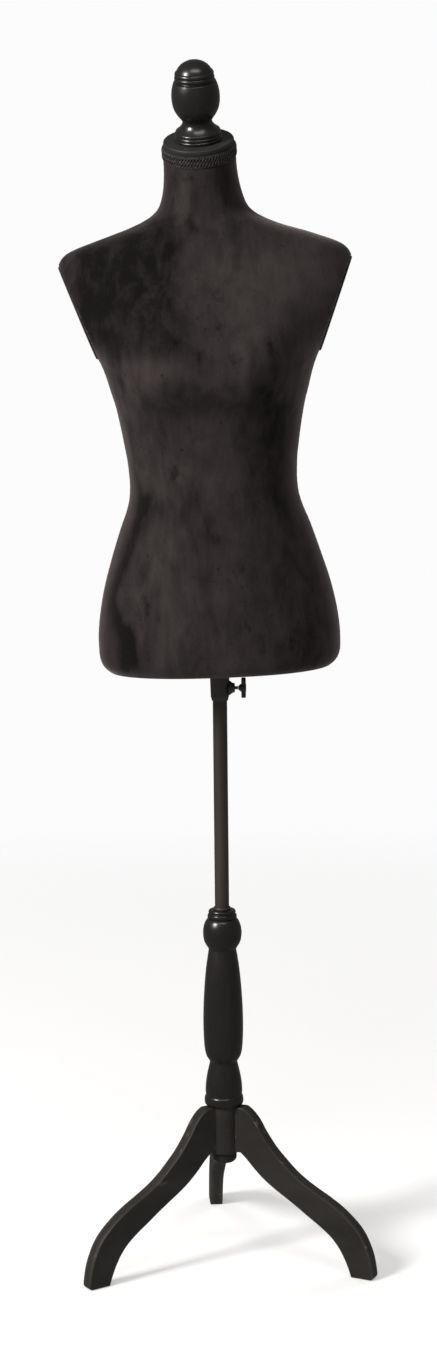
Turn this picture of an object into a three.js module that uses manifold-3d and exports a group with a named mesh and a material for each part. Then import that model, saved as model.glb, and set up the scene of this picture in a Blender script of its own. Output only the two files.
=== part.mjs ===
// Dress form mannequin: a velvet-covered female torso on a height-adjustable pole,
// a turned wooden column and a three-legged wooden base.
// Millimetres, +Z up, the bust faces -Y, the viewer's right hand is +X.
// The frame's origin is the centre of the footprint box on the floor, so the pole's
// axis stands at (POLE_X, POLE_Y).
import * as THREE from "three";
import { mergeVertices } from "three/addons/utils/BufferGeometryUtils.js";
import Module from "manifold-3d";

// ---------------------------------------------------------------- driving dimensions
const POLE_X = 0; // pole axis in the part's frame
const POLE_Y = -45;
const GAP = 0.3; // clearance between neighbouring pieces
const ROUND = 20; // segments of a turned piece

// stand
const TRIPOD_YAW = 3.7; // degrees, rear leg turned from straight back
const LEG_THICK = 17.8;
const LEG_FOOT_OUT = 221.5; // radius of the foot's outer edge
const LEG_FOOT_IN = 190;
const HUB_R = 22;
const HUB_Z0 = 148;
const HUB_Z1 = 213.4;
const TONGUE_R = 11; // depth of the dovetail towards the axis
const CAP_R = 16.5; // retaining knob under the hub
const CAP_Z0 = 131;
const ROD_R = 4;
const COLUMN_Z0 = 213.8;
const COLUMN_Z1 = 483;

// pole
const POLE_R = 9.5;
const POLE_WALL = 1.25;
const POLE_Z0 = 392.4;
const POLE_Z1 = 1058;

// torso
const TORSO_Z = 813; // underside of the torso
const TORSO_X = 1.5; // sideways offset of the torso on its socket
const TORSO_LEAN = 1.6; // degrees, the torso sits slightly out of plumb
const COVER = 1.7; // velvet and its backing
const SHELL_GAP = 0.3;
const SHELL_WALL = 4;
const NECK_TILT = 21; // degrees, the neck's top slopes forward
const NECK_TOP_W = 675; // height of the neck's top centre above the underside
const NECK_TOP_V = -10;
const NECK_ROLL = 1.5; // degrees, the neck leans a little to -X above NECK_ROLL_W
const NECK_ROLL_W = 590;
const ARM_X = 166.5; // armhole plane, outer face, at height ARM_W
const ARM_W = 465;
const ARM_SLOPE = 0.372; // outward per unit of height
const ARM_TOE = 0.05; // outward per unit of depth
const ARM_LOW = 404; // the armhole's flat lies between these heights
const ARM_HIGH = 600;
const BOARD_T = 9;
const CAP_DISC_R = 45.2;
const CAP_DISC_T = 7;

// clamp
const COLLAR_Z0 = 767;
const COLLAR_Z1 = 870;
const BORE_R = 9.9;
const SCREW_Z = 783.5;
const SCREW_R = 2.4;

// ---------------------------------------------------------------- helpers
const wasm = await Module();
wasm.setup();
const DEG = Math.PI / 180;

// A closed three.js geometry as a solid; triangles squeezed flat on an axis are dropped.
function solid(geometry, matrix) {
  const g = geometry.index ? geometry.toNonIndexed() : geometry.clone();
  const bare = new THREE.BufferGeometry().setAttribute(
    "position",
    g.getAttribute("position").clone(),
  );
  if (matrix) bare.applyMatrix4(matrix);
  const m = mergeVertices(bare, 1e-3);
  const src = m.index.array;
  const make = (flip) => {
    const tri = [];
    for (let i = 0; i < src.length; i += 3) {
      const [a, b, c] = [src[i], src[i + 1], src[i + 2]];
      if (a === b || b === c || c === a) continue;
      if (flip) tri.push(a, c, b);
      else tri.push(a, b, c);
    }
    return new wasm.Manifold(
      new wasm.Mesh({
        numProp: 3,
        vertProperties: new Float32Array(m.attributes.position.array),
        triVerts: new Uint32Array(tri),
      }),
    );
  };
  let s = make(false);
  if (s.volume() < 0) s = make(true);
  return s;
}

function geometryOf(s) {
  const m = s.getMesh();
  const g = new THREE.BufferGeometry();
  g.setAttribute(
    "position",
    new THREE.BufferAttribute(Float32Array.from(m.vertProperties), 3),
  );
  g.setIndex(new THREE.BufferAttribute(Uint32Array.from(m.triVerts), 1));
  g.computeVertexNormals();
  return g;
}

const mat = (color, roughness, metalness) =>
  new THREE.MeshStandardMaterial({ color, roughness, metalness });
const VELVET = mat(0x16110f, 0.9, 0);
const BRAID = mat(0x1b1815, 0.85, 0);
const GLOSS_WOOD = mat(0x100d0b, 0.18, 0);
const SATIN_WOOD = mat(0x1d1a18, 0.4, 0);
const RAW_WOOD = mat(0xb08a5c, 0.7, 0);
const SHELL = mat(0xd8d2c4, 0.6, 0);
const STEEL = mat(0x2b2723, 0.4, 0.6);
const ZINC = mat(0xa8a8a4, 0.35, 1);
const PLASTIC = mat(0x191614, 0.45, 0);
const BRASS = mat(0xb5923f, 0.35, 1);

function add(parent, name, shape, material) {
  const geometry = shape.isBufferGeometry ? shape : geometryOf(shape);
  const mesh = new THREE.Mesh(geometry, material);
  mesh.name = name;
  parent.add(mesh);
  return mesh;
}

// Turned solid about +Z from [radius, height] pairs.
function turned(pairs, segments = ROUND, start = 0) {
  const g = new THREE.LatheGeometry(
    pairs.map(([r, z]) => new THREE.Vector2(r, z)),
    segments,
    start,
  );
  return solid(g, new THREE.Matrix4().makeRotationX(Math.PI / 2));
}
// A turned profile that closes on itself, as for a tube or a ring.
const ring = (pairs, segments) => turned([...pairs, pairs[0]], segments);
const rod = (r, z0, z1, segments) =>
  turned(
    [
      [0, z0],
      [r, z0],
      [r, z1],
      [0, z1],
    ],
    segments,
  );
const move = (s, x, y, z) => s.translate([x, y, z]);
// Lays a solid made along +Z on its side along +X.
const layX = (s) => s.rotate([0, 90, 0]);

function group(parent, x, y, z) {
  const g = new THREE.Group();
  g.position.set(x, y, z);
  parent.add(g);
  return g;
}

const root = new THREE.Group();
const base = group(root, POLE_X, POLE_Y, 0); // everything on the pole's axis

// ---------------------------------------------------------------- legs
// Side outline of one leg: [radius, height], upper edge from hub to toe.
const LEG_UPPER = [
  [32, 212.8],
  [40, 207.8],
  [51, 195.5],
  [58.5, 183],
  [67.5, 170],
  [77, 158],
  [89, 146],
  [101, 134.5],
  [116, 123],
  [134, 112.3],
  [154, 101.7],
  [171.5, 91],
  [185.5, 80],
  [198, 68],
  [206.5, 56],
  [212.8, 43],
  [217.4, 30],
  [220.2, 16.5],
  [LEG_FOOT_OUT, 3],
  [LEG_FOOT_OUT - 2.5, 0],
];
const LEG_LOWER = [
  [LEG_FOOT_IN, 0],
  [184.5, 15],
  [178, 28.5],
  [170.5, 40.5],
  [159.5, 52.5],
  [144.5, 64],
  [127.5, 75],
  [111.5, 85.8],
  [93.5, 97],
  [76, 107.7],
  [60.5, 119],
  [47.5, 131],
  [36.5, 142.5],
  [28, 150],
];
function leg() {
  const outline = new THREE.Shape(
    [[16, 150], [16, 212.8], ...LEG_UPPER, ...LEG_LOWER].map(
      ([r, z]) => new THREE.Vector2(r, z),
    ),
  );
  const board = new THREE.ExtrudeGeometry(outline, {
    depth: LEG_THICK,
    bevelEnabled: false,
  });
  const stand = new THREE.Matrix4()
    .makeRotationX(Math.PI / 2)
    .premultiply(new THREE.Matrix4().makeTranslation(0, LEG_THICK / 2, 0));
  const cut = rod(HUB_R + GAP, HUB_Z0 - 20, HUB_Z1 + 20);
  return solid(board, stand)
    .subtract(cut)
    .add(tongue(0, TONGUE_R + 0.2, HUB_R + 2, 153, 206));
}
// Dovetail: wider inside the hub than at its surface.
function tongue(grow, r0, r1, z0, z1) {
  const inner = 7.2 + grow;
  const outer = 5.2 + grow;
  const shape = new THREE.Shape([
    new THREE.Vector2(r0, -inner),
    new THREE.Vector2(r1, -outer),
    new THREE.Vector2(r1, outer),
    new THREE.Vector2(r0, inner),
  ]);
  return solid(
    new THREE.ExtrudeGeometry(shape, { depth: z1 - z0, bevelEnabled: false }),
    new THREE.Matrix4().makeTranslation(0, 0, z0),
  );
}
const LEG_ANGLE = {
  leg_rear: 90 + TRIPOD_YAW,
  leg_left: 210 + TRIPOD_YAW,
  leg_right: 330 + TRIPOD_YAW,
};
const legSolid = leg();
let hub = rod(HUB_R, HUB_Z0, HUB_Z1);
for (const [name, angle] of Object.entries(LEG_ANGLE)) {
  const mesh = add(base, name, legSolid, SATIN_WOOD);
  mesh.rotation.z = angle * DEG;
  hub = hub.subtract(
    tongue(GAP, TONGUE_R - 0.1, HUB_R + 3, HUB_Z0 - 1, 206.4).rotate([
      0,
      0,
      angle,
    ]),
  );
}
hub = hub.subtract(rod(ROD_R + 0.4, HUB_Z0 - 1, HUB_Z1 + 1, 16));
add(base, "hub_post", hub, SATIN_WOOD);

// ---------------------------------------------------------------- hub underside and tie rod
add(
  base,
  "hub_washer",
  ring(
    [
      [ROD_R + 0.4, 145.9],
      [18, 145.9],
      [18, 147.6],
      [ROD_R + 0.4, 147.6],
    ],
    24,
  ),
  ZINC,
);
add(
  base,
  "hub_knob",
  turned(
    [
      [0, CAP_Z0],
      [9, CAP_Z0 + 0.6],
      [14, CAP_Z0 + 3.2],
      [CAP_R, CAP_Z0 + 7],
      [CAP_R, 143.5],
      [15, 145.6],
      [ROD_R + 0.3, 145.6],
      [ROD_R + 0.3, 135],
      [0, 135],
    ],
    24,
  ),
  SATIN_WOOD,
);
add(base, "tie_rod", rod(ROD_R, 135.4, 300, 12), ZINC);

// ---------------------------------------------------------------- column
const COLUMN_PROFILE = [
  [24.6, COLUMN_Z0],
  [25.9, 215.6],
  [26.2, 219.5],
  [25.8, 224],
  [24.4, 226.4],
  [24.3, 227.6],
  [24.8, 232],
  [24.1, 244],
  [22.4, 255],
  [20.4, 264],
  [18.9, 271.4],
  [18.3, 274],
  [19.6, 275.6],
  [22.8, 281],
  [24.9, 289],
  [26.2, 303],
  [26.8, 325],
  [26.5, 345],
  [25.9, 359],
  [24.2, 384],
  [22.2, 404],
  [20.1, 418.5],
  [18.8, 427],
  [18.4, 429],
  [19.4, 431.6],
  [22.6, 436.4],
  [24.8, 442],
  [25.8, 449.5],
  [25.5, 457],
  [24, 463.5],
  [21.4, 469.5],
  [19.2, 472],
  [19.2, 477.4],
  [17.7, 478.6],
  [17.5, COLUMN_Z1],
];
const column = turned([
  [0, COLUMN_Z0],
  ...COLUMN_PROFILE,
  [0, COLUMN_Z1],
])
  .subtract(rod(10.9, 392, COLUMN_Z1 + 1))
  .subtract(rod(7.3, COLUMN_Z0 - 1, 234.6, 16))
  .subtract(rod(4.5, COLUMN_Z0 - 1, 301, 12));
add(base, "column", column, GLOSS_WOOD);
add(
  base,
  "column_insert",
  ring(
    [
      [4.35, 214.1],
      [7, 214.1],
      [7, 234.2],
      [4.35, 234.2],
    ],
    16,
  ),
  BRASS,
);
add(
  base,
  "column_bush",
  ring([
    [BORE_R, 392.4],
    [10.55, 392.4],
    [10.55, 483.3],
    [11.4, 483.3],
    [11.4, 486],
    [10.9, 486.9],
    [BORE_R, 486.9],
  ]),
  PLASTIC,
);

// ---------------------------------------------------------------- pole
add(
  base,
  "pole",
  ring([
    [POLE_R - POLE_WALL, POLE_Z0],
    [POLE_R, POLE_Z0],
    [POLE_R, POLE_Z1],
    [POLE_R - POLE_WALL, POLE_Z1],
  ]),
  STEEL,
);
add(
  base,
  "pole_plug",
  turned(
    [
      [0, POLE_Z1 - 13],
      [7.2, POLE_Z1 - 13],
      [7.9, POLE_Z1 - 11],
      [7.9, POLE_Z1 + GAP],
      [9.4, POLE_Z1 + GAP],
      [9, POLE_Z1 + 2.4],
      [0, POLE_Z1 + 3],
    ],
    20,
  ),
  PLASTIC,
);

// ---------------------------------------------------------------- torso surface
// One row per level: height above the underside, half width, front depth, back depth,
// section exponent, depth of the section's centre, forward tilt of the section.
const TORSO = [
  [0, 145.5, 95, 103, 2.3, 0, 0],
  [4, 150.5, 100, 108.5, 2.3, 0, 0],
  [11, 155.5, 104.5, 114, 2.3, 0, 0],
  [40, 158.4, 109, 123, 2.3, 0, 0],
  [90, 152.3, 109, 121, 2.3, 0, 0],
  [140, 138.9, 103.5, 107, 2.25, 0, 0],
  [190, 122.4, 96.5, 95, 2.2, 0, 0],
  [228, 109.9, 92.7, 90.8, 2.2, 0, 0],
  [245, 108.6, 92.5, 90.5, 2.2, 0, 0],
  [295, 113.3, 96, 94.5, 2.25, 0, 0],
  [345, 122.2, 102, 101.5, 2.35, 0, 0],
  [365, 128, 103.5, 103.5, 2.4, 0, 0],
  [385, 133.7, 103.5, 104.8, 2.4, 0, 0],
  [414, 146.5, 101, 104.8, 2.35, 0, 0],
  [430, 159.9, 98.5, 104, 2.3, 0, 0],
  [450, 177, 94, 102.3, 2.25, 0, 0],
  [472, 189.5, 87.5, 99, 2.2, 0, 0],
  [494, 195, 79.5, 94, 2.2, 0, 0],
  [526, 189.5, 67.5, 82.5, 2.1, 0, 0],
  [535, 185.5, 65, 79, 2.1, 0, 0],
  [548, 168.5, 61.5, 73.5, 2, 0, 0],
  [562, 130, 58.5, 68.5, 2, 1, 0],
  [577, 87, 55.5, 63, 2, 3, 0],
  [586, 69.5, 53.5, 59.5, 2, 4, 1],
  [596, 58.2, 51.5, 55.5, 2, 4.5, 3],
  [610, 51.5, 49.5, 51.5, 2, 3.5, 7],
  [628, 47.8, 47.5, 48.5, 2, 0, 12],
  [650, 46.3, 46.3, 46.3, 2, -5, 17],
  [NECK_TOP_W, 46.3, 46.3, 46.3, 2, NECK_TOP_V, NECK_TILT],
];
const BUST = { x: 70, w: 392, sx: 42, up: 48, down: 31, high: 32 };
const SEAT = { x: 66, w: 52, sx: 46, up: 52, down: 44, high: 9 };
const swell = (b, x, w) => {
  const dw = (w - b.w) / (w > b.w ? b.up : b.down);
  let s = 0;
  for (const side of [-1, 1]) {
    const dx = (x - side * b.x) / b.sx;
    s += Math.exp(-(dx * dx + dw * dw) / 2);
  }
  return b.high * s;
};
// The neck's sideways lean, fading in above NECK_ROLL_W.
function leanNeck(p, w) {
  const t = Math.min(Math.max((w - NECK_ROLL_W) / 50, 0), 1);
  const a = NECK_ROLL * DEG * t * t * (3 - 2 * t);
  const z = p.z - NECK_ROLL_W;
  return new THREE.Vector3(
    p.x * Math.cos(a) - z * Math.sin(a),
    p.y,
    NECK_ROLL_W + p.x * Math.sin(a) + z * Math.cos(a),
  );
}
// Direction out of the top of the neck.
const NECK_UP = new THREE.Vector3(
  -Math.cos(NECK_TILT * DEG) * Math.sin(NECK_ROLL * DEG),
  -Math.sin(NECK_TILT * DEG),
  Math.cos(NECK_TILT * DEG) * Math.cos(NECK_ROLL * DEG),
);
// A point of the section: angle 0 is +X, 90 the back, 270 the front.
function torsoPoint(row, angle) {
  const [w, a, front, back, n, centre, tilt] = row;
  const c = Math.cos(angle);
  const s = Math.sin(angle);
  const x = a * Math.sign(c) * Math.abs(c) ** (2 / n);
  let v = (s > 0 ? back : front) * Math.sign(s) * Math.abs(s) ** (2 / n);
  const fade = Math.abs(s) ** 0.8;
  if (s < 0) v -= fade * swell(BUST, x, w);
  else v += fade * swell(SEAT, x, w);
  return leanNeck(
    new THREE.Vector3(
      x,
      centre + v * Math.cos(tilt * DEG),
      w + v * Math.sin(tilt * DEG),
    ),
    w,
  );
}

// Rings of points, moved inwards along the surface's normal by each distance of `insets`.
function torsoGrids(rows, around, insets) {
  const points = rows.map((row) =>
    Array.from({ length: around }, (_, i) =>
      torsoPoint(row, (2 * Math.PI * i) / around),
    ),
  );
  const last = rows.length - 1;
  const normals = points.map((line, k) =>
    line.map((p, i) => {
      const next = line[(i + 1) % around];
      const before = line[(i + around - 1) % around];
      const up = points[Math.min(k + 1, last)][i];
      const down = points[Math.max(k - 1, 0)][i];
      const t = next.clone().sub(before);
      const n = t.clone().cross(up.clone().sub(down)).normalize();
      if (k === 0) n.z = 0;
      if (k === last) {
        const axis = rows[last][6] ? NECK_UP : new THREE.Vector3(0, 0, 1);
        n.addScaledVector(axis, -n.dot(axis));
      }
      return n.normalize();
    }),
  );
  return insets.map((d) =>
    points.map((line, k) =>
      line.map((p, i) => p.clone().addScaledVector(normals[k][i], -d)),
    ),
  );
}

// Closed solid from one grid (capped), or the wall between an outer and an inner grid.
function loft(outer, inner) {
  const around = outer[0].length;
  const position = [];
  const tri = (a, b, c) =>
    position.push(a.x, a.y, a.z, b.x, b.y, b.z, c.x, c.y, c.z);
  const quad = (a, b, c, d) => {
    tri(a, b, c);
    tri(a, c, d);
  };
  const skin = (grid, out) => {
    for (let k = 0; k + 1 < grid.length; k++)
      for (let i = 0; i < around; i++) {
        const j = (i + 1) % around;
        const [a, b, c, d] = [
          grid[k][i],
          grid[k][j],
          grid[k + 1][j],
          grid[k + 1][i],
        ];
        if (out) quad(a, b, c, d);
        else quad(a, d, c, b);
      }
  };
  skin(outer, true);
  const ends = [0, outer.length - 1];
  if (inner) {
    skin(inner, false);
    for (const k of ends)
      for (let i = 0; i < around; i++) {
        const j = (i + 1) % around;
        if (k === 0) quad(outer[k][j], outer[k][i], inner[k][i], inner[k][j]);
        else quad(outer[k][i], outer[k][j], inner[k][j], inner[k][i]);
      }
  } else {
    for (const k of ends) {
      const mid = new THREE.Vector3();
      for (const p of outer[k]) mid.addScaledVector(p, 1 / around);
      for (let i = 0; i < around; i++) {
        const j = (i + 1) % around;
        if (k === 0) tri(outer[k][j], outer[k][i], mid);
        else tri(outer[k][i], outer[k][j], mid);
      }
    }
  }
  const g = new THREE.BufferGeometry();
  g.setAttribute("position", new THREE.Float32BufferAttribute(position, 3));
  return solid(g);
}

// Everything of the torso beyond its armhole plane, `deep` inside the plane's outer face,
// as a thick slab; side is 1 or -1.
function armSlab(side, deep, thick) {
  const normal = new THREE.Vector3(1, -ARM_TOE, -ARM_SLOPE).normalize();
  normal.x *= side;
  const mid = (ARM_LOW + ARM_HIGH) / 2;
  const at = new THREE.Vector3(
    side * (ARM_X + ARM_SLOPE * (mid - ARM_W)),
    0,
    mid,
  ).addScaledVector(normal, -deep + thick / 2);
  const turn = new THREE.Quaternion().setFromUnitVectors(
    new THREE.Vector3(side, 0, 0),
    normal,
  );
  return solid(
    new THREE.BoxGeometry(
      thick,
      300,
      (ARM_HIGH - ARM_LOW) / Math.cos(Math.atan(ARM_SLOPE)),
    ),
    new THREE.Matrix4().compose(at, turn, new THREE.Vector3(1, 1, 1)),
  );
}
const halfSpace = (sign, from) =>
  solid(
    new THREE.BoxGeometry(600, 400, 900),
    new THREE.Matrix4().makeTranslation(0, sign * (200 + from), 350),
  );

const AROUND = 24;
const INSIDE = COVER + SHELL_GAP + SHELL_WALL;
const [skinOut, skinIn, shellOut, braidIn, hollowGrid, plugGrid] = torsoGrids(
  TORSO,
  AROUND,
  [0, COVER, COVER + SHELL_GAP, -0.3, INSIDE, INSIDE + 0.4],
);
const body = loft(skinOut);
const shellBody = loft(shellOut);

// The shell's hollow runs out through the underside and the neck.
function runOut(grid) {
  return [
    grid[0].map((p) => p.clone().setZ(p.z - 6)),
    ...grid,
    grid[grid.length - 1].map((p) => p.clone().addScaledVector(NECK_UP, 25)),
  ];
}

const ARM_STACK = 6.2; // covering and board outside the shell's flat
const armCut = (s, deep) =>
  s.subtract(armSlab(1, deep, 120)).subtract(armSlab(-1, deep, 120));

// ---------------------------------------------------------------- torso pieces
const torso = group(base, TORSO_X, 0, TORSO_Z);
torso.rotation.y = -TORSO_LEAN * DEG;

const shell = armCut(shellBody, ARM_STACK).subtract(
  armCut(loft(runOut(hollowGrid)), ARM_STACK + SHELL_WALL),
);
add(torso, "shell_front", shell.intersect(halfSpace(-1, 0.15)), SHELL);
add(torso, "shell_back", shell.intersect(halfSpace(1, 0.15)), SHELL);

const cover = armCut(loft(skinOut, skinIn), ARM_STACK - 3.6);
add(torso, "velvet_front", cover.intersect(halfSpace(-1, 0.2)), VELVET);
add(torso, "velvet_back", cover.intersect(halfSpace(1, 0.2)), VELVET);

for (const [side, word] of [
  [-1, "left"],
  [1, "right"],
]) {
  add(
    torso,
    "arm_board_" + word,
    shellBody.intersect(armSlab(side, ARM_STACK - 0.3, 3)),
    RAW_WOOD,
  );
  add(
    torso,
    "arm_cover_" + word,
    body.intersect(armSlab(side, ARM_STACK - 3.9, 2.3)),
    VELVET,
  );
}

// underside board, inside the shell's rim
{
  const rim = (w) => [w, 138.4, 87.3, 95.2, 2.3, 0, 0];
  let board = loft(
    torsoGrids([rim(2), rim(2 + BOARD_T)], AROUND, [0])[0],
  ).subtract(move(rod(14.2, -5, 20), -TORSO_X, 0, 0));
  for (const a of [45, 135, 225, 315])
    board = board.subtract(
      move(
        rod(2.3, -1, 9.5, 10),
        -TORSO_X + 26 * Math.cos(a * DEG),
        26 * Math.sin(a * DEG),
        0,
      ),
    );
  add(torso, "base_board", board, RAW_WOOD);
}

// neck frame: origin at the neck's top centre, +Z out of the neck
const neckTop = leanNeck(
  new THREE.Vector3(0, NECK_TOP_V, NECK_TOP_W),
  NECK_TOP_W,
);
const neck = group(torso, neckTop.x, neckTop.y, neckTop.z);
neck.rotation.set(NECK_TILT * DEG, -NECK_ROLL * DEG, 0, "YXZ");
const toNeck = (s) =>
  s
    .translate([-neckTop.x, -neckTop.y, -neckTop.z])
    .rotate([0, NECK_ROLL, 0])
    .rotate([-NECK_TILT, 0, 0]);

add(
  neck,
  "neck_block",
  turned([
    [0, -26],
    [42, -26],
    [42, -0.3],
    [0, -0.3],
  ])
    .intersect(toNeck(loft(runOut(plugGrid))))
    .subtract(rod(3.3, -22, 1, 12))
    .subtract(move(rod(1.9, -17, 1, 8), 20, 0, 0))
    .subtract(move(rod(1.9, -17, 1, 8), -20, 0, 0)),
  RAW_WOOD,
);
add(
  neck,
  "neck_cap",
  turned([
    [0, 0.3],
    [CAP_DISC_R - 0.6, 0.3],
    [CAP_DISC_R, 1],
    [CAP_DISC_R, CAP_DISC_T - 1.4],
    [CAP_DISC_R - 1.2, CAP_DISC_T],
    [0, CAP_DISC_T],
  ])
    .subtract(rod(3.3, -1, 9, 12))
    .subtract(move(rod(1.9, -1, 9, 8), 20, 0, 0))
    .subtract(move(rod(1.9, -1, 9, 8), -20, 0, 0))
    .subtract(move(rod(3.9, 4.6, 9, 12), 20, 0, 0))
    .subtract(move(rod(3.9, 4.6, 9, 12), -20, 0, 0)),
  GLOSS_WOOD,
);
for (const [side, word] of [
  [-1, "left"],
  [1, "right"],
])
  add(
    neck,
    "cap_screw_" + word,
    move(
      turned(
        [
          [0, -16.5],
          [1.6, -14],
          [1.6, 4.9],
          [3.5, 4.9],
          [3.5, 6.8],
          [0, 6.9],
        ],
        12,
      ),
      side * 20,
      0,
      0,
    ),
    ZINC,
  );
add(
  neck,
  "neck_braid",
  ring([
    [40, -14.6],
    [46.8, -14.6],
    [47.6, -13],
    [47.6, -2],
    [46.8, -0.6],
    [40, -0.6],
  ]).subtract(toNeck(loft(braidIn))),
  BRAID,
);
add(neck, "finial_bolt", rod(3, -21.6, CAP_DISC_T + 30, 12), ZINC);

// finial, heights above the neck cap's top face
const FINIAL_PROFILE = [
  [29.6, 0],
  [30.3, 1.2],
  [30.3, 3],
  [29.1, 4.1],
  [29.7, 5.2],
  [29.6, 7],
  [28.4, 8.2],
  [28.9, 9.4],
  [28.6, 11.4],
  [27.2, 12.8],
  [23.6, 16],
  [20.6, 19.6],
  [19, 23.2],
  [19.2, 25.6],
  [21.2, 28.6],
  [24.6, 33.4],
  [28, 39.8],
  [30, 47],
  [30.6, 54.5],
  [30.2, 61.5],
  [29.1, 67.5],
  [27.8, 71.8],
  [25, 72.8],
  [24, 74.2],
  [25.1, 76],
  [25.2, 79],
  [24, 80.6],
  [24.6, 82.4],
  [24, 84.6],
  [22.4, 86],
  [20.6, 91.2],
  [16.4, 96.8],
  [10, 101],
  [0, 103],
];
add(
  neck,
  "finial",
  move(turned([[0, 0], ...FINIAL_PROFILE]), 0, 0, CAP_DISC_T + GAP).subtract(
    rod(3.3, CAP_DISC_T - 1, CAP_DISC_T + 31, 12),
  ),
  GLOSS_WOOD,
);

// ---------------------------------------------------------------- clamp collar
// Moulded socket: tapered barrel with a lip, a side boss for the wing screw and a flange
// that lies flat on the underside board; its bore runs along the pole.
{
  const barrel = turned([
    [0, COLLAR_Z0],
    [10.7, COLLAR_Z0],
    [10.9, 769.6],
    [11.9, 771.5],
    [13.3, 812],
    [13.2, COLLAR_Z1],
    [0, COLLAR_Z1],
  ]);
  const boss = move(
    layX(
      turned(
        [
          [0, 4],
          [10.6, 4],
          [9.2, 13],
          [6.4, 16.4],
          [6.3, 19],
          [5.6, 19.9],
          [0, 19.9],
        ],
        20,
      ),
    ),
    0,
    0,
    SCREW_Z,
  );
  let flange = turned([
    [0, -2.4],
    [33, -2.4],
    [34, -1.4],
    [34, 1.7],
    [0, 1.7],
  ]);
  for (const a of [45, 135, 225, 315])
    flange = flange.subtract(
      move(
        rod(2.3, -4, 3, 10),
        26 * Math.cos(a * DEG),
        26 * Math.sin(a * DEG),
        0,
      ),
    );
  flange = flange.rotate([0, -TORSO_LEAN, 0]).translate([0, 0, TORSO_Z]);
  const collar = barrel
    .add(boss)
    .add(flange)
    .subtract(rod(BORE_R, COLLAR_Z0 - 1, COLLAR_Z1 + 1))
    .subtract(move(layX(rod(4.2, 0, 25, 16)), 0, 0, SCREW_Z));
  add(base, "clamp_collar", collar, PLASTIC);
  add(
    base,
    "clamp_insert",
    move(
      layX(
        ring(
          [
            [SCREW_R + 0.3, 11.4],
            [3.9, 11.4],
            [3.9, 19.6],
            [SCREW_R + 0.3, 19.6],
          ],
          16,
        ),
      ),
      0,
      0,
      SCREW_Z,
    ),
    BRASS,
  );
}
const socket = group(torso, -TORSO_X, 0, 0);
[45, 135, 225, 315].forEach((a, i) =>
  add(
    socket,
    "flange_screw_" + (i + 1),
    move(
      turned(
        [
          [0, -4.9],
          [2.6, -4.7],
          [3.9, -3.4],
          [3.9, -2.7],
          [1.9, -2.7],
          [1.9, 7.6],
          [0, 9.2],
        ],
        12,
      ),
      26 * Math.cos(a * DEG),
      26 * Math.sin(a * DEG),
      0,
    ),
    ZINC,
  ),
);

// ---------------------------------------------------------------- wing screw
add(
  base,
  "wing_screw_shank",
  move(layX(rod(SCREW_R, POLE_R + GAP, 24.2, 14)), 0, 0, SCREW_Z),
  ZINC,
);
{
  const hubCone = layX(
    turned(
      [
        [0, 24.5],
        [2.6, 24.5],
        [5.6, 28],
        [5.8, 34],
        [4.6, 34.8],
        [0, 34.8],
      ],
      16,
    ),
  );
  // two-lobed bar: half length 13.7 along z, half width 4.4 along y
  const outline = new THREE.Shape();
  outline.absarc(0, 9.4, 4.4, 0, Math.PI, false);
  outline.absarc(0, -9.4, 4.4, Math.PI, 2 * Math.PI, false);
  const bar = solid(
    new THREE.ExtrudeGeometry(outline, {
      depth: 4.2,
      bevelEnabled: true,
      bevelThickness: 0.9,
      bevelSize: 0.7,
      bevelOffset: -0.7,
      bevelSegments: 1,
      curveSegments: 8,
    }),
    // outline x to part y, outline y to part z, depth to part x
    new THREE.Matrix4()
      .makeBasis(
        new THREE.Vector3(0, 1, 0),
        new THREE.Vector3(0, 0, 1),
        new THREE.Vector3(1, 0, 0),
      )
      .setPosition(29.3, 0, 0),
  );
  add(base, "wing_screw_head", move(hubCone.add(bar), 0, 0, SCREW_Z), PLASTIC);
}

export default root;
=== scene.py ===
import bpy
import bmesh
import math
import numpy as np
from mathutils import Matrix, Vector, noise


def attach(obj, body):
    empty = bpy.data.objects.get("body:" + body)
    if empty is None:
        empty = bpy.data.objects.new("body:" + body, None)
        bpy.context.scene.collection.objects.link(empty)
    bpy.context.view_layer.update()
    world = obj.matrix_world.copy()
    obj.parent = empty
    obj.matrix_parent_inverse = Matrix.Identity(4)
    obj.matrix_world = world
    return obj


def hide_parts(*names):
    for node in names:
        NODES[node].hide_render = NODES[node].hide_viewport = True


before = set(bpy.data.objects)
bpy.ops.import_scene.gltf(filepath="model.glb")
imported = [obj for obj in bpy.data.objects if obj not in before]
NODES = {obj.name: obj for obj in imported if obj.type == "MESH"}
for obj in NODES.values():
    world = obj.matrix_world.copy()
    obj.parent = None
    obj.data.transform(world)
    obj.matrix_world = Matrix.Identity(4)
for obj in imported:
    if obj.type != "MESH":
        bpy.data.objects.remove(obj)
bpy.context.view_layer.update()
DEG = math.pi / 180
MM = 0.001

# ------------------------------------------------------------------ placement, as in the CAD
BASE = Matrix.Translation((0, -0.045, 0))
TORSO = (
    BASE
    @ Matrix.Translation((0.0015, 0, 0.813))
    @ Matrix.Rotation(-1.6 * DEG, 4, "Y")
)
NECK_TILT, NECK_ROLL, NECK_ROLL_W = 21, 1.5, 590


def lean_neck(p, w):
    """The neck's sideways lean, fading in above NECK_ROLL_W; p in mm, torso frame."""
    t = np.clip((w - NECK_ROLL_W) / 50, 0, 1)
    a = NECK_ROLL * DEG * t * t * (3 - 2 * t)
    x, y, z = p[..., 0], p[..., 1], p[..., 2] - NECK_ROLL_W
    return np.stack([x * np.cos(a) - z * np.sin(a), y, NECK_ROLL_W + x * np.sin(a) + z * np.cos(a)], -1)


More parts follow.
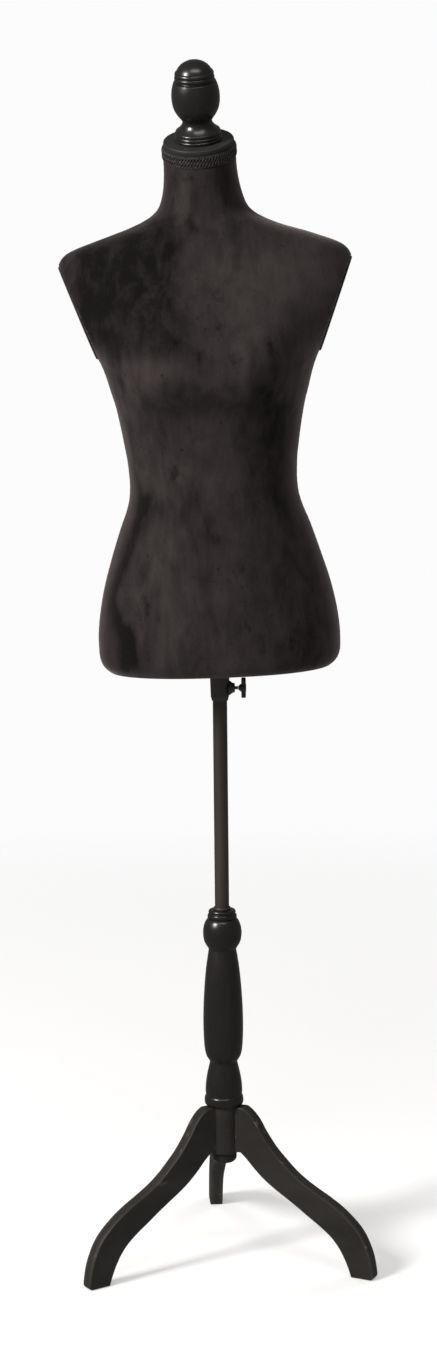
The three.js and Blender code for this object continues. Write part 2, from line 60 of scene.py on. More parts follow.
NECK_TOP = lean_neck(np.array([0, -10.0, 675.0]), np.array(675.0))
NECK = (
    TORSO
    @ Matrix.Translation(Vector(NECK_TOP) * MM)
    @ Matrix.Rotation(-NECK_ROLL * DEG, 4, "Y")
    @ Matrix.Rotation(NECK_TILT * DEG, 4, "X")
)
NECK_UP = np.array((TORSO.inverted() @ NECK).to_3x3() @ Vector((0, 0, 1)))


# ------------------------------------------------------------------ material helpers
class Mat:
    """A node material with a Principled shader and shorthand for the nodes used below."""

    def __init__(self, name, base, rough, **constants):
        self.m = bpy.data.materials.new(name)
        self.m.use_nodes = True
        self.t = self.m.node_tree
        self.b = self.t.nodes["Principled BSDF"]
        self.set("Base Color", (*base, 1))
        self.set("Roughness", rough)
        for k, v in constants.items():
            self.set(k.replace("_", " "), v)
        self.m.diffuse_color = (*base, 1)

    def set(self, socket, value):
        self.b.inputs[socket].default_value = value

    def node(self, kind, **props):
        n = self.t.nodes.new(kind)
        for k, v in props.items():
            setattr(n, k, v)
        return n

    def link(self, a, b):
        self.t.links.new(a, b)
        return b

    def coords(self, scale=(1, 1, 1), rotation=(0, 0, 0)):
        tc = self.node("ShaderNodeTexCoord")
        mp = self.node("ShaderNodeMapping")
        mp.inputs["Scale"].default_value = scale
        mp.inputs["Rotation"].default_value = rotation
        self.link(tc.outputs["Object"], mp.inputs["Vector"])
        return mp.outputs["Vector"]

    def noise(self, scale, detail=3, stretch=(1, 1, 1), rough=0.55, distortion=0.0):
        n = self.node("ShaderNodeTexNoise")
        n.inputs["Scale"].default_value = scale
        n.inputs["Detail"].default_value = detail
        n.inputs["Roughness"].default_value = rough
        n.inputs["Distortion"].default_value = distortion
        self.link(self.coords(stretch), n.inputs["Vector"])
        return n.outputs["Fac"]

    def attribute(self, name):
        n = self.node("ShaderNodeAttribute", attribute_name=name)
        return n.outputs["Fac"]

    def math(self, op, a, b=None, clamp=False):
        n = self.node("ShaderNodeMath", operation=op, use_clamp=clamp)
        for i, v in enumerate([a, b]):
            if v is None:
                continue
            if hasattr(v, "is_output"):
                self.link(v, n.inputs[i])
            else:
                n.inputs[i].default_value = v
        return n.outputs[0]

    def ramp(self, value, lo, hi, a=0.0, b=1.0):
        n = self.node("ShaderNodeMapRange", clamp=True)
        n.inputs["From Min"].default_value = lo
        n.inputs["From Max"].default_value = hi
        n.inputs["To Min"].default_value = a
        n.inputs["To Max"].default_value = b
        self.link(value, n.inputs["Value"])
        return n.outputs["Result"]

    def mix(self, fac, a, b):
        n = self.node("ShaderNodeMix", data_type="RGBA")
        self.link(fac, n.inputs[0])
        for i, v in ((6, a), (7, b)):
            if hasattr(v, "is_output"):
                self.link(v, n.inputs[i])
            else:
                n.inputs[i].default_value = (*v, 1)
        return n.outputs[2]

    def base(self, color):
        self.link(color, self.b.inputs["Base Color"])

    def rough(self, value):
        self.link(value, self.b.inputs["Roughness"])

    def bump(self, *layers):
        """layers of (height, strength, distance)"""
        last = None
        for height, strength, distance in layers:
            n = self.node("ShaderNodeBump")
            n.inputs["Strength"].default_value = strength
            n.inputs["Distance"].default_value = distance
            self.link(height, n.inputs["Height"])
            if last is not None:
                self.link(last, n.inputs["Normal"])
            last = n.outputs["Normal"]
        self.link(last, self.b.inputs["Normal"])


def velvet_material():
    m = Mat(
        "velvet",
        (0.016, 0.013, 0.0125),
        0.9,
        Specular_IOR_Level=0.1,
        Sheen_Weight=0.30,
        Sheen_Roughness=0.40,
        Sheen_Tint=(0.66, 0.56, 0.55, 1),
    )
    # the vertex attribute holds the pile's lie together with painted shade and painted light, which tint the velvet
    # colour below
    nap_and_painted_shading = m.attribute("nap_and_painted_shading")
    cloud = m.noise(8.5, 5, (1, 1, 0.5), 0.62, 0.6)
    brush = m.noise(38, 4, (1, 1, 0.3), 0.62, 1.0)
    grit = m.noise(150, 3, (1, 1, 0.4), 0.65, 0.4)
    fine = m.noise(620, 2, (1, 1, 0.35), 0.6)
    f = m.math("ADD", 0.47, m.math("MULTIPLY", nap_and_painted_shading, 0.5))
    for part, amount in ((cloud, 1.25), (brush, 0.85), (grit, 0.35), (fine, 0.30)):
        f = m.math("ADD", f, m.math("MULTIPLY", m.math("SUBTRACT", part, 0.5), amount))
    f = m.math("MAXIMUM", m.math("MINIMUM", f, 1.0), 0.0)
    color = m.mix(f, (0.0036, 0.0028, 0.0027), (0.0400, 0.0325, 0.0320))
    # small brushed-back marks, gathered in places
    where = m.ramp(m.noise(11, 2, (1, 1, 0.7), 0.5), 0.44, 0.62)
    marks = m.ramp(m.noise(46, 4, (1, 1, 0.6), 0.65, 0.15), 0.575, 0.70)
    dots = m.ramp(m.noise(120, 2, (1, 1, 0.8), 0.5), 0.68, 0.76)
    dark = m.math("MAXIMUM", m.math("MULTIPLY", m.math("MULTIPLY", marks, where), 0.8), m.math("MULTIPLY", dots, 0.6))
    color = m.mix(dark, color, (0.0045, 0.0036, 0.0034))
    m.base(color)
    m.bump(
        (m.noise(26, 3, (1, 1, 0.5), 0.5), 0.25, 0.0022),
        (m.noise(210, 3, (1, 1, 0.35), 0.6), 0.32, 0.0006),
        (m.noise(1500, 2, (1, 1, 0.5), 0.6), 0.5, 0.0003),
    )
    return m.m


def braid_material():
    m = Mat(
        "braid",
        (0.018, 0.0155, 0.014),
        0.72,
        Specular_IOR_Level=0.3,
        Sheen_Weight=0.25,
        Sheen_Roughness=0.4,
        Sheen_Tint=(0.6, 0.56, 0.54, 1),
    )
    f = m.noise(300, 3)
    m.base(m.mix(m.ramp(f, 0.35, 0.65), (0.010, 0.0088, 0.008), (0.046, 0.041, 0.038)))
    m.rough(m.ramp(f, 0.3, 0.7, 0.62, 0.82))
    m.bump((m.noise(1400, 2, (1, 1, 2.5)), 0.5, 0.00035), (m.noise(500, 2), 0.3, 0.0004))
    return m.m


def lacquer_material():
    m = Mat(
        "gloss_lacquer",
        (0.011, 0.0095, 0.0085),
        0.3,
        Specular_IOR_Level=0.5,
        Coat_Weight=0.25,
        Coat_Roughness=0.2,
    )
    grain = m.noise(60, 4, (1, 1, 0.08), 0.6, 0.6)
    m.base(m.mix(grain, (0.0075, 0.0064, 0.0058), (0.0165, 0.0138, 0.0120)))
    dust = m.noise(38, 3, (1, 1, 1), 0.6)
    m.rough(m.ramp(dust, 0.35, 0.7, 0.25, 0.36))
    m.bump(
        (m.noise(300, 3, (1, 1, 0.06), 0.6), 0.07, 0.0005),
        (m.noise(180, 2), 0.05, 0.0006),
        (m.noise(35, 2), 0.05, 0.002),
    )
    return m.m


def paint_material(name, dark, light, rough, wear=True, grain=(0.06, 1, 1), specular=0.32):
    m = Mat(name, dark, rough, Specular_IOR_Level=specular)
    patch = m.noise(22, 4, (0.6, 1, 1), 0.6)
    color = m.mix(m.ramp(patch, 0.3, 0.7), dark, light)
    if wear:
        edge = m.attribute("edge")
        chips = m.math(
            "MULTIPLY",
            edge,
            m.ramp(m.noise(95, 4, (0.45, 1, 1), 0.7, 0.4), 0.60, 0.66),
        )
        rub = m.math("MULTIPLY", edge, m.ramp(m.noise(9, 2), 0.38, 0.68, 0.05, 0.45))
        color = m.mix(rub, color, (0.075, 0.066, 0.058))
        color = m.mix(m.math("MULTIPLY", chips, 0.9), color, (0.17, 0.13, 0.095))
    nick = m.ramp(m.noise(70, 2, (0.35, 1, 1), 0.5), 0.735, 0.76)
    color = m.mix(m.math("MULTIPLY", nick, 0.35), color, (0.10, 0.08, 0.065))
    m.base(color)
    m.rough(m.ramp(m.noise(30, 4), 0.3, 0.7, rough - 0.05, rough + 0.09))
    m.bump(
        (m.noise(420, 4, grain, 0.65, 0.3), 0.22, 0.0005),
        (m.noise(130, 2), 0.10, 0.0006),
        (m.noise(18, 2), 0.12, 0.002),
    )
    return m.m


def pole_material():
    m = Mat("pole_steel", (0.045, 0.039, 0.034), 0.4, Metallic=0.35, Specular_IOR_Level=0.5)
    streak = m.noise(120, 4, (1, 1, 0.03), 0.6)
    patch = m.noise(14, 3, (1, 1, 0.3), 0.6)
    color = m.mix(m.ramp(patch, 0.3, 0.7), (0.036, 0.031, 0.028), (0.060, 0.050, 0.043))
    color = m.mix(m.math("MULTIPLY", m.ramp(streak, 0.45, 0.75), 0.4), color, (0.075, 0.062, 0.052))
    m.base(color)
    m.rough(m.ramp(streak, 0.3, 0.7, 0.36, 0.5))
    m.bump((m.noise(900, 2, (1, 1, 0.05)), 0.14, 0.00025), (m.noise(240, 3), 0.12, 0.00035))
    return m.m


def plastic_material():
    m = Mat("black_plastic", (0.034, 0.029, 0.0255), 0.42, Specular_IOR_Level=0.5)
    f = m.noise(60, 3)
    m.base(m.mix(f, (0.028, 0.0242, 0.0215), (0.048, 0.041, 0.0365)))
    m.rough(m.ramp(m.noise(45, 3), 0.3, 0.7, 0.36, 0.52))
    m.bump((m.noise(1100, 2), 0.22, 0.0002), (m.noise(90, 2), 0.08, 0.0008))
    return m.m


def metal_material(name, a, b, rough):
    m = Mat(name, a, rough, Metallic=1.0)
    f = m.noise(160, 4)
    m.base(m.mix(f, a, b))
    m.rough(m.ramp(m.noise(320, 3), 0.3, 0.7, rough - 0.08, rough + 0.12))
    m.bump((m.noise(800, 3), 0.15, 0.0002))
    return m.m


def wood_material():
    m = Mat("raw_board", (0.42, 0.29, 0.17), 0.7)
    ring = m.noise(30, 5, (1, 0.12, 1), 0.6, 1.2)
    m.base(m.mix(m.ramp(ring, 0.35, 0.65), (0.33, 0.215, 0.12), (0.50, 0.36, 0.22)))
    m.rough(m.ramp(ring, 0.3, 0.7, 0.62, 0.8))
    m.bump((m.noise(260, 4, (1, 0.08, 1), 0.6), 0.3, 0.0005))
    return m.m


def shell_material():
    m = Mat("moulded_shell", (0.66, 0.63, 0.55), 0.6)
    f = m.noise(25, 4)
    m.base(m.mix(f, (0.60, 0.57, 0.49), (0.71, 0.68, 0.60)))
    m.rough(m.ramp(f, 0.3, 0.7, 0.52, 0.68))
    m.bump((m.noise(140, 3), 0.2, 0.0008))
    return m.m


VELVET = velvet_material()
BRAID = braid_material()
LACQUER = lacquer_material()
LEG_PAINT = paint_material("leg_paint", (0.0185, 0.0162, 0.0145), (0.0300, 0.0265, 0.0240), 0.44)
HUB_PAINT = paint_material(
    "hub_paint", (0.0165, 0.0143, 0.0125), (0.0275, 0.0240, 0.0215), 0.44, False, (1, 1, 0.06)
)
CAP_PAINT = paint_material("cap_paint", (0.019, 0.018, 0.017), (0.029, 0.0275, 0.026), 0.5, False)
BOARD_PAINT = paint_material("board_paint", (0.013, 0.012, 0.011), (0.021, 0.019, 0.0175), 0.7, False)
POLE_STEEL = pole_material()
PLASTIC = plastic_material()
ZINC = metal_material("zinc_steel", (0.42, 0.42, 0.41), (0.55, 0.55, 0.53), 0.34)
BRASS = metal_material("brass", (0.50, 0.35, 0.12), (0.60, 0.44, 0.18), 0.3)
WOOD = wood_material()
SHELL = shell_material()


# ------------------------------------------------------------------ mesh helpers
def make(name, verts, faces, material, matrix, body, nodes, slot, angle=35, attrs=None):
    me = bpy.data.meshes.new(name)
    me.from_pydata([tuple(v) for v in verts], [], [tuple(f) for f in faces])
    me.update()
    for key, values in (attrs or {}).items():
        a = me.attributes.new(key, "FLOAT", "POINT")
        a.data.foreach_set("value", np.asarray(values, np.float32))
    bm = bmesh.new()
    bm.from_mesh(me)
    bmesh.ops.recalc_face_normals(bm, faces=bm.faces)
    bm.to_mesh(me)
    bm.free()
    return place(name, me, material, matrix, body, nodes, angle)


def place(name, me, material, matrix, body, nodes, angle=35):
    for p in me.polygons:
        p.use_smooth = True
    if angle:
        me.set_sharp_from_angle(angle=angle * DEG)
    me.materials.append(material)
    o = bpy.data.objects.new(name, me)
    bpy.context.scene.collection.objects.link(o)
    o.matrix_world = matrix
    bpy.context.view_layer.update()
    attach(o, body)
    if nodes:
        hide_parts(*nodes)
    return o


def curve_through(points, per=4, start=None, end=None):
    """Points of a smooth curve through `points` (centripetal Catmull-Rom)."""
    p = [np.array(q, float) for q in points]
    if len(p) < 3:
        return [tuple(q) for q in p]
    first = np.array(start, float) if start is not None else 2 * p[0] - p[1]
    last = np.array(end, float) if end is not None else 2 * p[-1] - p[-2]
    q = [first, *p, last]
    out = []
    for i in range(1, len(q) - 2):
        a, b, c, d = q[i - 1 : i + 3]
        t0 = 0.0
        t1 = t0 + max(np.linalg.norm(b - a), 1e-6) ** 0.5
        t2 = t1 + max(np.linalg.norm(c - b), 1e-6) ** 0.5
        t3 = t2 + max(np.linalg.norm(d - c), 1e-6) ** 0.5
        for k in range(per):
            t = t1 + (t2 - t1) * k / per
            a1 = a * (t1 - t) / (t1 - t0) + b * (t - t0) / (t1 - t0)
            a2 = b * (t2 - t) / (t2 - t1) + c * (t - t1) / (t2 - t1)
            a3 = c * (t3 - t) / (t3 - t2) + d * (t - t2) / (t3 - t2)
            b1 = a1 * (t2 - t) / (t2 - t0) + a2 * (t - t0) / (t2 - t0)
            b2 = a2 * (t3 - t) / (t3 - t1) + a3 * (t - t1) / (t3 - t1)
            out.append(tuple(b1 * (t2 - t) / (t2 - t1) + b2 * (t - t1) / (t2 - t1)))
    out.append(tuple(p[-1]))
    return out


def revolve(profile, segments=96, closed=False, axis="Z"):
    """Vertices (m) and faces of a turned surface from [radius, height] pairs in mm."""
    verts, faces, rings = [], [], []
    for r, z in profile:
        if r < 1e-4:
            rings.append([len(verts)])
            verts.append((0.0, 0.0, z * MM))
            continue
        ring = []
        for i in range(segments):
            a = 2 * math.pi * i / segments
            ring.append(len(verts))
            verts.append((r * MM * math.cos(a), r * MM * math.sin(a), z * MM))
        rings.append(ring)
    pairs = list(zip(rings, rings[1:]))
    if closed:
        pairs.append((rings[-1], rings[0]))
    for lo, hi in pairs:
        for i in range(segments):
            j = (i + 1) % segments
            if len(lo) == 1 and len(hi) == 1:
                continue
            if len(lo) == 1:
                faces.append((lo[0], hi[j], hi[i]))
            elif len(hi) == 1:
                faces.append((lo[i], lo[j], hi[0]))
            else:
                faces.append((lo[i], lo[j], hi[j], hi[i]))
    if axis == "X":
        verts = [(z, x, y) for x, y, z in verts]
    return verts, faces


def joined(*parts):
    verts, faces = [], []
    for v, f in parts:
        n = len(verts)
        verts += list(v)
        faces += [tuple(i + n for i in q) for q in f]
    return verts, faces


def moved(part, matrix):
    v, f = part
    return [tuple(matrix @ Vector(p)) for p in v], f


def rounded(r, z0, z1, edge=0.8, r0=0.0):
    """Profile of a plain turned piece with rounded rims."""
    out = [(r0, z0)]
    for k in range(5):
        t = math.pi / 2 * k / 4
        out.append((r - edge + edge * math.sin(t), z0 + edge - edge * math.cos(t)))
    for k in range(5):
        t = math.pi / 2 * k / 4
        out.append((r - edge + edge * math.cos(t), z1 - edge + edge * math.sin(t)))
    out.append((r0, z1))
    return out


def plate(outline, half, bevel, steps=4, support=0.6):
    """A flat board with rounded edges: outline is [x, z] in mm, thickness runs along Y.
    Returns vertices, faces and how much each vertex lies on a rounded edge."""
    p = np.array(outline, float)
    if sum(a[0] * b[1] - b[0] * a[1] for a, b in zip(p, np.roll(p, -1, 0))) < 0:
        p = p[::-1]
    e = np.roll(p, -1, 0) - p
    n = np.stack([e[:, 1], -e[:, 0]], 1)
    n /= np.maximum(np.linalg.norm(n, axis=1), 1e-9)[:, None]
    before = np.roll(n, 1, 0)
    mid = n + before
    mid /= np.maximum(np.linalg.norm(mid, axis=1), 1e-9)[:, None]
    miter = mid / np.maximum((mid * n).sum(1), 0.6)[:, None]
    rings = [(-half, bevel + support, 0.0)]
    for k in range(steps + 1):
        t = math.pi / 2 * k / steps
        rings.append((-half + bevel * (1 - math.cos(t)), bevel * (1 - math.sin(t)), 1.0))
    rings.append((0.0, 0.0, 0.0))
    rings = rings + [(-y, i, w) for y, i, w in rings[-2::-1]]
    verts, weight = [], []
    for y, inset, w in rings:
        q = p - miter * inset
        verts += [(x * MM, y * MM, z * MM) for x, z in q]
        weight += [w] * len(q)
    k = len(p)
    faces = [tuple(range(k))[::-1]]
    for r in range(len(rings) - 1):
        for i in range(k):
            j = (i + 1) % k
            faces.append((r * k + i, r * k + j, (r + 1) * k + j, (r + 1) * k + i))
    faces.append(tuple((len(rings) - 1) * k + i for i in range(k)))
    return verts, faces, weight


# ------------------------------------------------------------------ camera, light, floor
scene = bpy.context.scene
cam_data = bpy.data.cameras.new("camera")
cam_data.sensor_width = 36
cam_data.lens = 2787.9 / 1351 * 36
cam_data.clip_start, cam_data.clip_end = 0.05, 200
cam = bpy.data.objects.new("camera", cam_data)
scene.collection.objects.link(cam)
CAM_X, CAM_D, CAM_H, CAM_PITCH, CAM_ROLL = -0.0015, 3.622, 1.412, 9.589, 0.6
cam.matrix_world = (
    Matrix.Translation((CAM_X, -CAM_D - 0.045, CAM_H))
    @ Matrix.Rotation((90 - CAM_PITCH) * DEG, 4, "X")
    @ Matrix.Rotation(-CAM_ROLL * DEG, 4, "Z")
)
scene.camera = cam
scene.view_settings.view_transform = "Standard"
scene.view_settings.look = "None"


def area_light(name, at, aim, size, power, color=(1, 1, 1)):
    data = bpy.data.lights.new(name, "AREA")
    data.shape = "RECTANGLE"
    data.size, data.size_y = size
    data.energy = power
    data.color = color
    o = bpy.data.objects.new(name, data)
    scene.collection.objects.link(o)
    d = Vector(aim) - Vector(at)
    o.rotation_euler = d.to_track_quat("-Z", "Y").to_euler()
    o.location = at
    return o


area_light("key", (-2.25, -1.6, 2.45), (0, 0, 0.95), (0.75, 0.95), 104, (1, 0.99, 0.975))
area_light("overhead", (0.15, -1.9, 3.5), (0, 0, 0.7), (2.2, 0.7), 25, (1, 0.985, 0.97))
for name, at in (("back_left", (-1.9, 2.4, 2.2)), ("back_right", (2.1, 2.0, 2.0))):
    # these only lift the edges of the cloth, and are too soft to be seen in the lacquer
    area_light(name, at, (0, 0, 1.0), (1.6, 1.6), 20).visible_glossy = False

world = bpy.data.worlds.new("world")
scene.world = world
world.use_nodes = True
wt = world.node_tree
bg = wt.nodes["Background"]
bg.inputs["Color"].default_value = (1.0, 0.985, 0.97, 1)
bg.inputs["Strength"].default_value = 0.19
seen = wt.nodes.new("ShaderNodeBackground")
seen.inputs["Color"].default_value = (0.97, 0.97, 0.97, 1)
seen.inputs["Strength"].default_value = 1.0
path = wt.nodes.new("ShaderNodeLightPath")
mixer = wt.nodes.new("ShaderNodeMixShader")
dim = wt.nodes.new("ShaderNodeBackground")
dim.inputs["Color"].default_value = (1.0, 0.97, 0.94, 1)
dim.inputs["Strength"].default_value = 0.13
gloss_mix = wt.nodes.new("ShaderNodeMixShader")
wt.links.new(path.outputs["Is Glossy Ray"], gloss_mix.inputs[0])
wt.links.new(bg.outputs[0], gloss_mix.inputs[1])
wt.links.new(dim.outputs[0], gloss_mix.inputs[2])
wt.links.new(path.outputs["Is Camera Ray"], mixer.inputs[0])
wt.links.new(gloss_mix.outputs[0], mixer.inputs[1])
wt.links.new(seen.outputs[0], mixer.inputs[2])
wt.links.new(mixer.outputs[0], wt.nodes["World Output"].inputs["Surface"])

fm = Mat("floor", (0.86, 0.855, 0.845), 0.75, Specular_IOR_Level=0.1, Emission_Color=(1, 1, 1, 1), Emission_Strength=0.28)
ft = fm.t
tc = fm.node("ShaderNodeTexCoord")
length = fm.node("ShaderNodeVectorMath", operation="LENGTH")
fm.link(tc.outputs["Object"], length.inputs[0])
fade = fm.ramp(length.outputs["Value"], 0.9, 2.6, 0.0, 1.0)
fm.base(fm.mix(fm.noise(3, 2), (0.86, 0.855, 0.845), (0.88, 0.875, 0.865)))
clear = fm.node("ShaderNodeBsdfTransparent")
fmix = fm.node("ShaderNodeMixShader")
under = fm.node("ShaderNodeNewGeometry")
fm.link(fm.math("MAXIMUM", fade, under.outputs["Backfacing"]), fmix.inputs[0])
fm.link(fm.b.outputs[0], fmix.inputs[1])
fm.link(clear.outputs[0], fmix.inputs[2])
fm.link(fmix.outputs[0], ft.nodes["Material Output"].inputs["Surface"])
me = bpy.data.meshes.new("floor")
R = 6.0
me.from_pydata(
    [(R * math.cos(a * DEG), R * math.sin(a * DEG), -0.0004) for a in range(0, 360, 5)],
    [],
    [tuple(range(72))],
)
me.materials.append(fm.m)
floor = bpy.data.objects.new("floor", me)
scene.collection.objects.link(floor)
# the dark gloss and paint shouldn't mirror the white floor
floor.visible_glossy = False

# ------------------------------------------------------------------ torso surface
ROWS = np.array(
    [
        [0, 145.5, 95, 103, 2.3, 0, 0],
        [4, 150.5, 100, 108.5, 2.3, 0, 0],
        [11, 155.5, 104.5, 114, 2.3, 0, 0],
        [22, 158.2, 107, 119, 2.3, 0, 0],
        [40, 158.4, 109, 123, 2.3, 0, 0],
        [65, 156.4, 110, 124.5, 2.3, 0, 0],
        [90, 152.3, 109, 121, 2.3, 0, 0],
        [115, 146.4, 106.5, 114.5, 2.3, 0, 0],
        [140, 138.9, 103.5, 107, 2.25, 0, 0],
        [165, 131, 100, 100.5, 2.25, 0, 0],
        [190, 122.4, 96.5, 95, 2.2, 0, 0],
        [210, 114.5, 94, 92, 2.2, 0, 0],
        [228, 109.9, 92.7, 90.8, 2.2, 0, 0],
        [245, 108.6, 92.5, 90.5, 2.2, 0, 0],
        [270, 109.8, 93.5, 91.5, 2.2, 0, 0],
        [295, 113.3, 96, 94.5, 2.25, 0, 0],
        [320, 117.3, 99, 98, 2.3, 0, 0],
        [345, 122.2, 102, 101.5, 2.35, 0, 0],
        [365, 128, 103.5, 103.5, 2.4, 0, 0],
        [385, 133.7, 103.5, 104.8, 2.4, 0, 0],
        [402, 140, 102.5, 105, 2.4, 0, 0],
        [414, 146.5, 101, 104.8, 2.35, 0, 0],
        [430, 159.9, 98.5, 104, 2.3, 0, 0],
        [450, 177, 94, 102.3, 2.25, 0, 0],
        [472, 189.5, 87.5, 99, 2.2, 0, 0],
        [494, 195.5, 79.5, 94, 2.2, 0, 0],
        [512, 194, 72.5, 88, 2.15, 0, 0],
        [526, 189.5, 67.5, 82.5, 2.1, 0, 0],
        [535, 185.5, 65, 79, 2.1, 0, 0],
        [541, 180.5, 63.5, 76.5, 2.05, 0, 0],
        [548, 168.5, 61.5, 73.5, 2, 0, 0],
        [555, 148, 60, 71, 2, 0.5, 0],
        [562, 128, 58.5, 68.5, 2, 1, 0],
        [569, 105.5, 57, 66, 2, 2, 0],
        [577, 84.5, 55.5, 63, 2, 3, 0],
        [586, 67.5, 53.5, 59.5, 2, 4, 1],
        [596, 57.2, 51.5, 55.5, 2, 4.5, 3],
        [610, 51.5, 49.5, 51.5, 2, 3.5, 7],
        [628, 47.8, 47.5, 48.5, 2, 0, 12],
        [650, 46.3, 46.3, 46.3, 2, -5, 17],
        [675, 46.3, 46.3, 46.3, 2, -10, 21],
    ]
)


def pchip(xk, yk, x):
    h = np.diff(xk)
    d = np.diff(yk) / h
    m = np.zeros_like(yk)
    for i in range(1, len(xk) - 1):
        if d[i - 1] * d[i] > 0:
            w1, w2 = 2 * h[i] + h[i - 1], h[i] + 2 * h[i - 1]
            m[i] = (w1 + w2) / (w1 / d[i - 1] + w2 / d[i])
    m[0], m[-1] = d[0], d[-1]
    i = np.clip(np.searchsorted(xk, x) - 1, 0, len(h) - 1)
    t = (x - xk[i]) / h[i]
    return (
        (1 + 2 * t) * (1 - t) ** 2 * yk[i]
        + t * (1 - t) ** 2 * h[i] * m[i]
        + t * t * (3 - 2 * t) * yk[i + 1]
        + t * t * (t - 1) * h[i] * m[i + 1]
    )


FINE = np.arange(0, 675.01, 0.5)
TABLE = np.stack([pchip(ROWS[:, 0], ROWS[:, c], FINE) for c in range(1, 7)], 1)
kernel = np.exp(-0.5 * (np.arange(-16, 17) / 5.5) ** 2)
kernel /= kernel.sum()
soft = np.stack(
    [
        np.convolve(np.pad(TABLE[:, c], 16, mode="reflect", reflect_type="odd"), kernel, "valid")
        for c in range(6)
    ],
    1,
)
edge_w = np.clip((FINE - 14) / 12, 0, 1)[:, None] * np.clip((668 - FINE) / 12, 0, 1)[:, None]
TABLE = TABLE * (1 - edge_w) + soft * edge_w

BUST = dict(x=70, w=392, sx=42, up=48, down=31, high=32)
SEAT = dict(x=66, w=52, sx=46, up=52, down=44, high=9)


def swell(b, x, w):
    dw = (w - b["w"]) / np.where(w > b["w"], b["up"], b["down"])
    s = 0
    for side in (-1, 1):
        s = s + np.exp(-((((x - side * b["x"]) / b["sx"]) ** 2) + dw**2) / 2)
    return b["high"] * s


def torso_points(w, angle):
    """Points (mm, torso frame) of the covering's outer surface; w and angle broadcast."""
    w, angle = np.broadcast_arrays(np.asarray(w, float), np.asarray(angle, float))
    a, front, back, n, centre, tilt = [np.interp(w, FINE, TABLE[:, c]) for c in range(6)]
    c, s = np.cos(angle), np.sin(angle)
    x = a * np.sign(c) * np.abs(c) ** (2 / n)
    v = np.where(s > 0, back, front) * np.sign(s) * np.abs(s) ** (2 / n)
    fade = np.abs(s) ** 0.8
    v = np.where(s < 0, v - fade * swell(BUST, x, w), v + fade * swell(SEAT, x, w))
    t = tilt * DEG
    return lean_neck(np.stack([x, centre + v * np.cos(t), w + v * np.sin(t)], -1), w)


ARM_X, ARM_W, ARM_SLOPE, ARM_TOE = 166.5, 465, 0.372, 0.05
ARM_N = np.array([1, -ARM_TOE, -ARM_SLOPE])
ARM_N = ARM_N / np.linalg.norm(ARM_N)


def arm_plane(side):
    """A point of the armhole plane's outer face and its outward normal, mm, torso frame."""
    return np.array([side * ARM_X, 0, ARM_W]), ARM_N * np.array([side, 1, 1])


def blob(x, w, cx, cw, rx, rw):
    return np.exp(-(((x - cx) / rx) ** 2) - ((w - cw) / rw) ** 2)


def streak(x, w, pts, width):
    best = np.full(x.shape, 1e9)
    for (x0, w0), (x1, w1) in zip(pts, pts[1:]):
        dx, dw = x1 - x0, w1 - w0
        t = np.clip(((x - x0) * dx + (w - w0) * dw) / (dx * dx + dw * dw), 0, 1)
        best = np.minimum(best, np.hypot(x - x0 - t * dx, w - w0 - t * dw))
    return np.exp(-((best / width) ** 2))


def ease(v, lo, hi):
    t = np.clip((v - lo) / (hi - lo), 0, 1)
    return t * t * (3 - 2 * t)


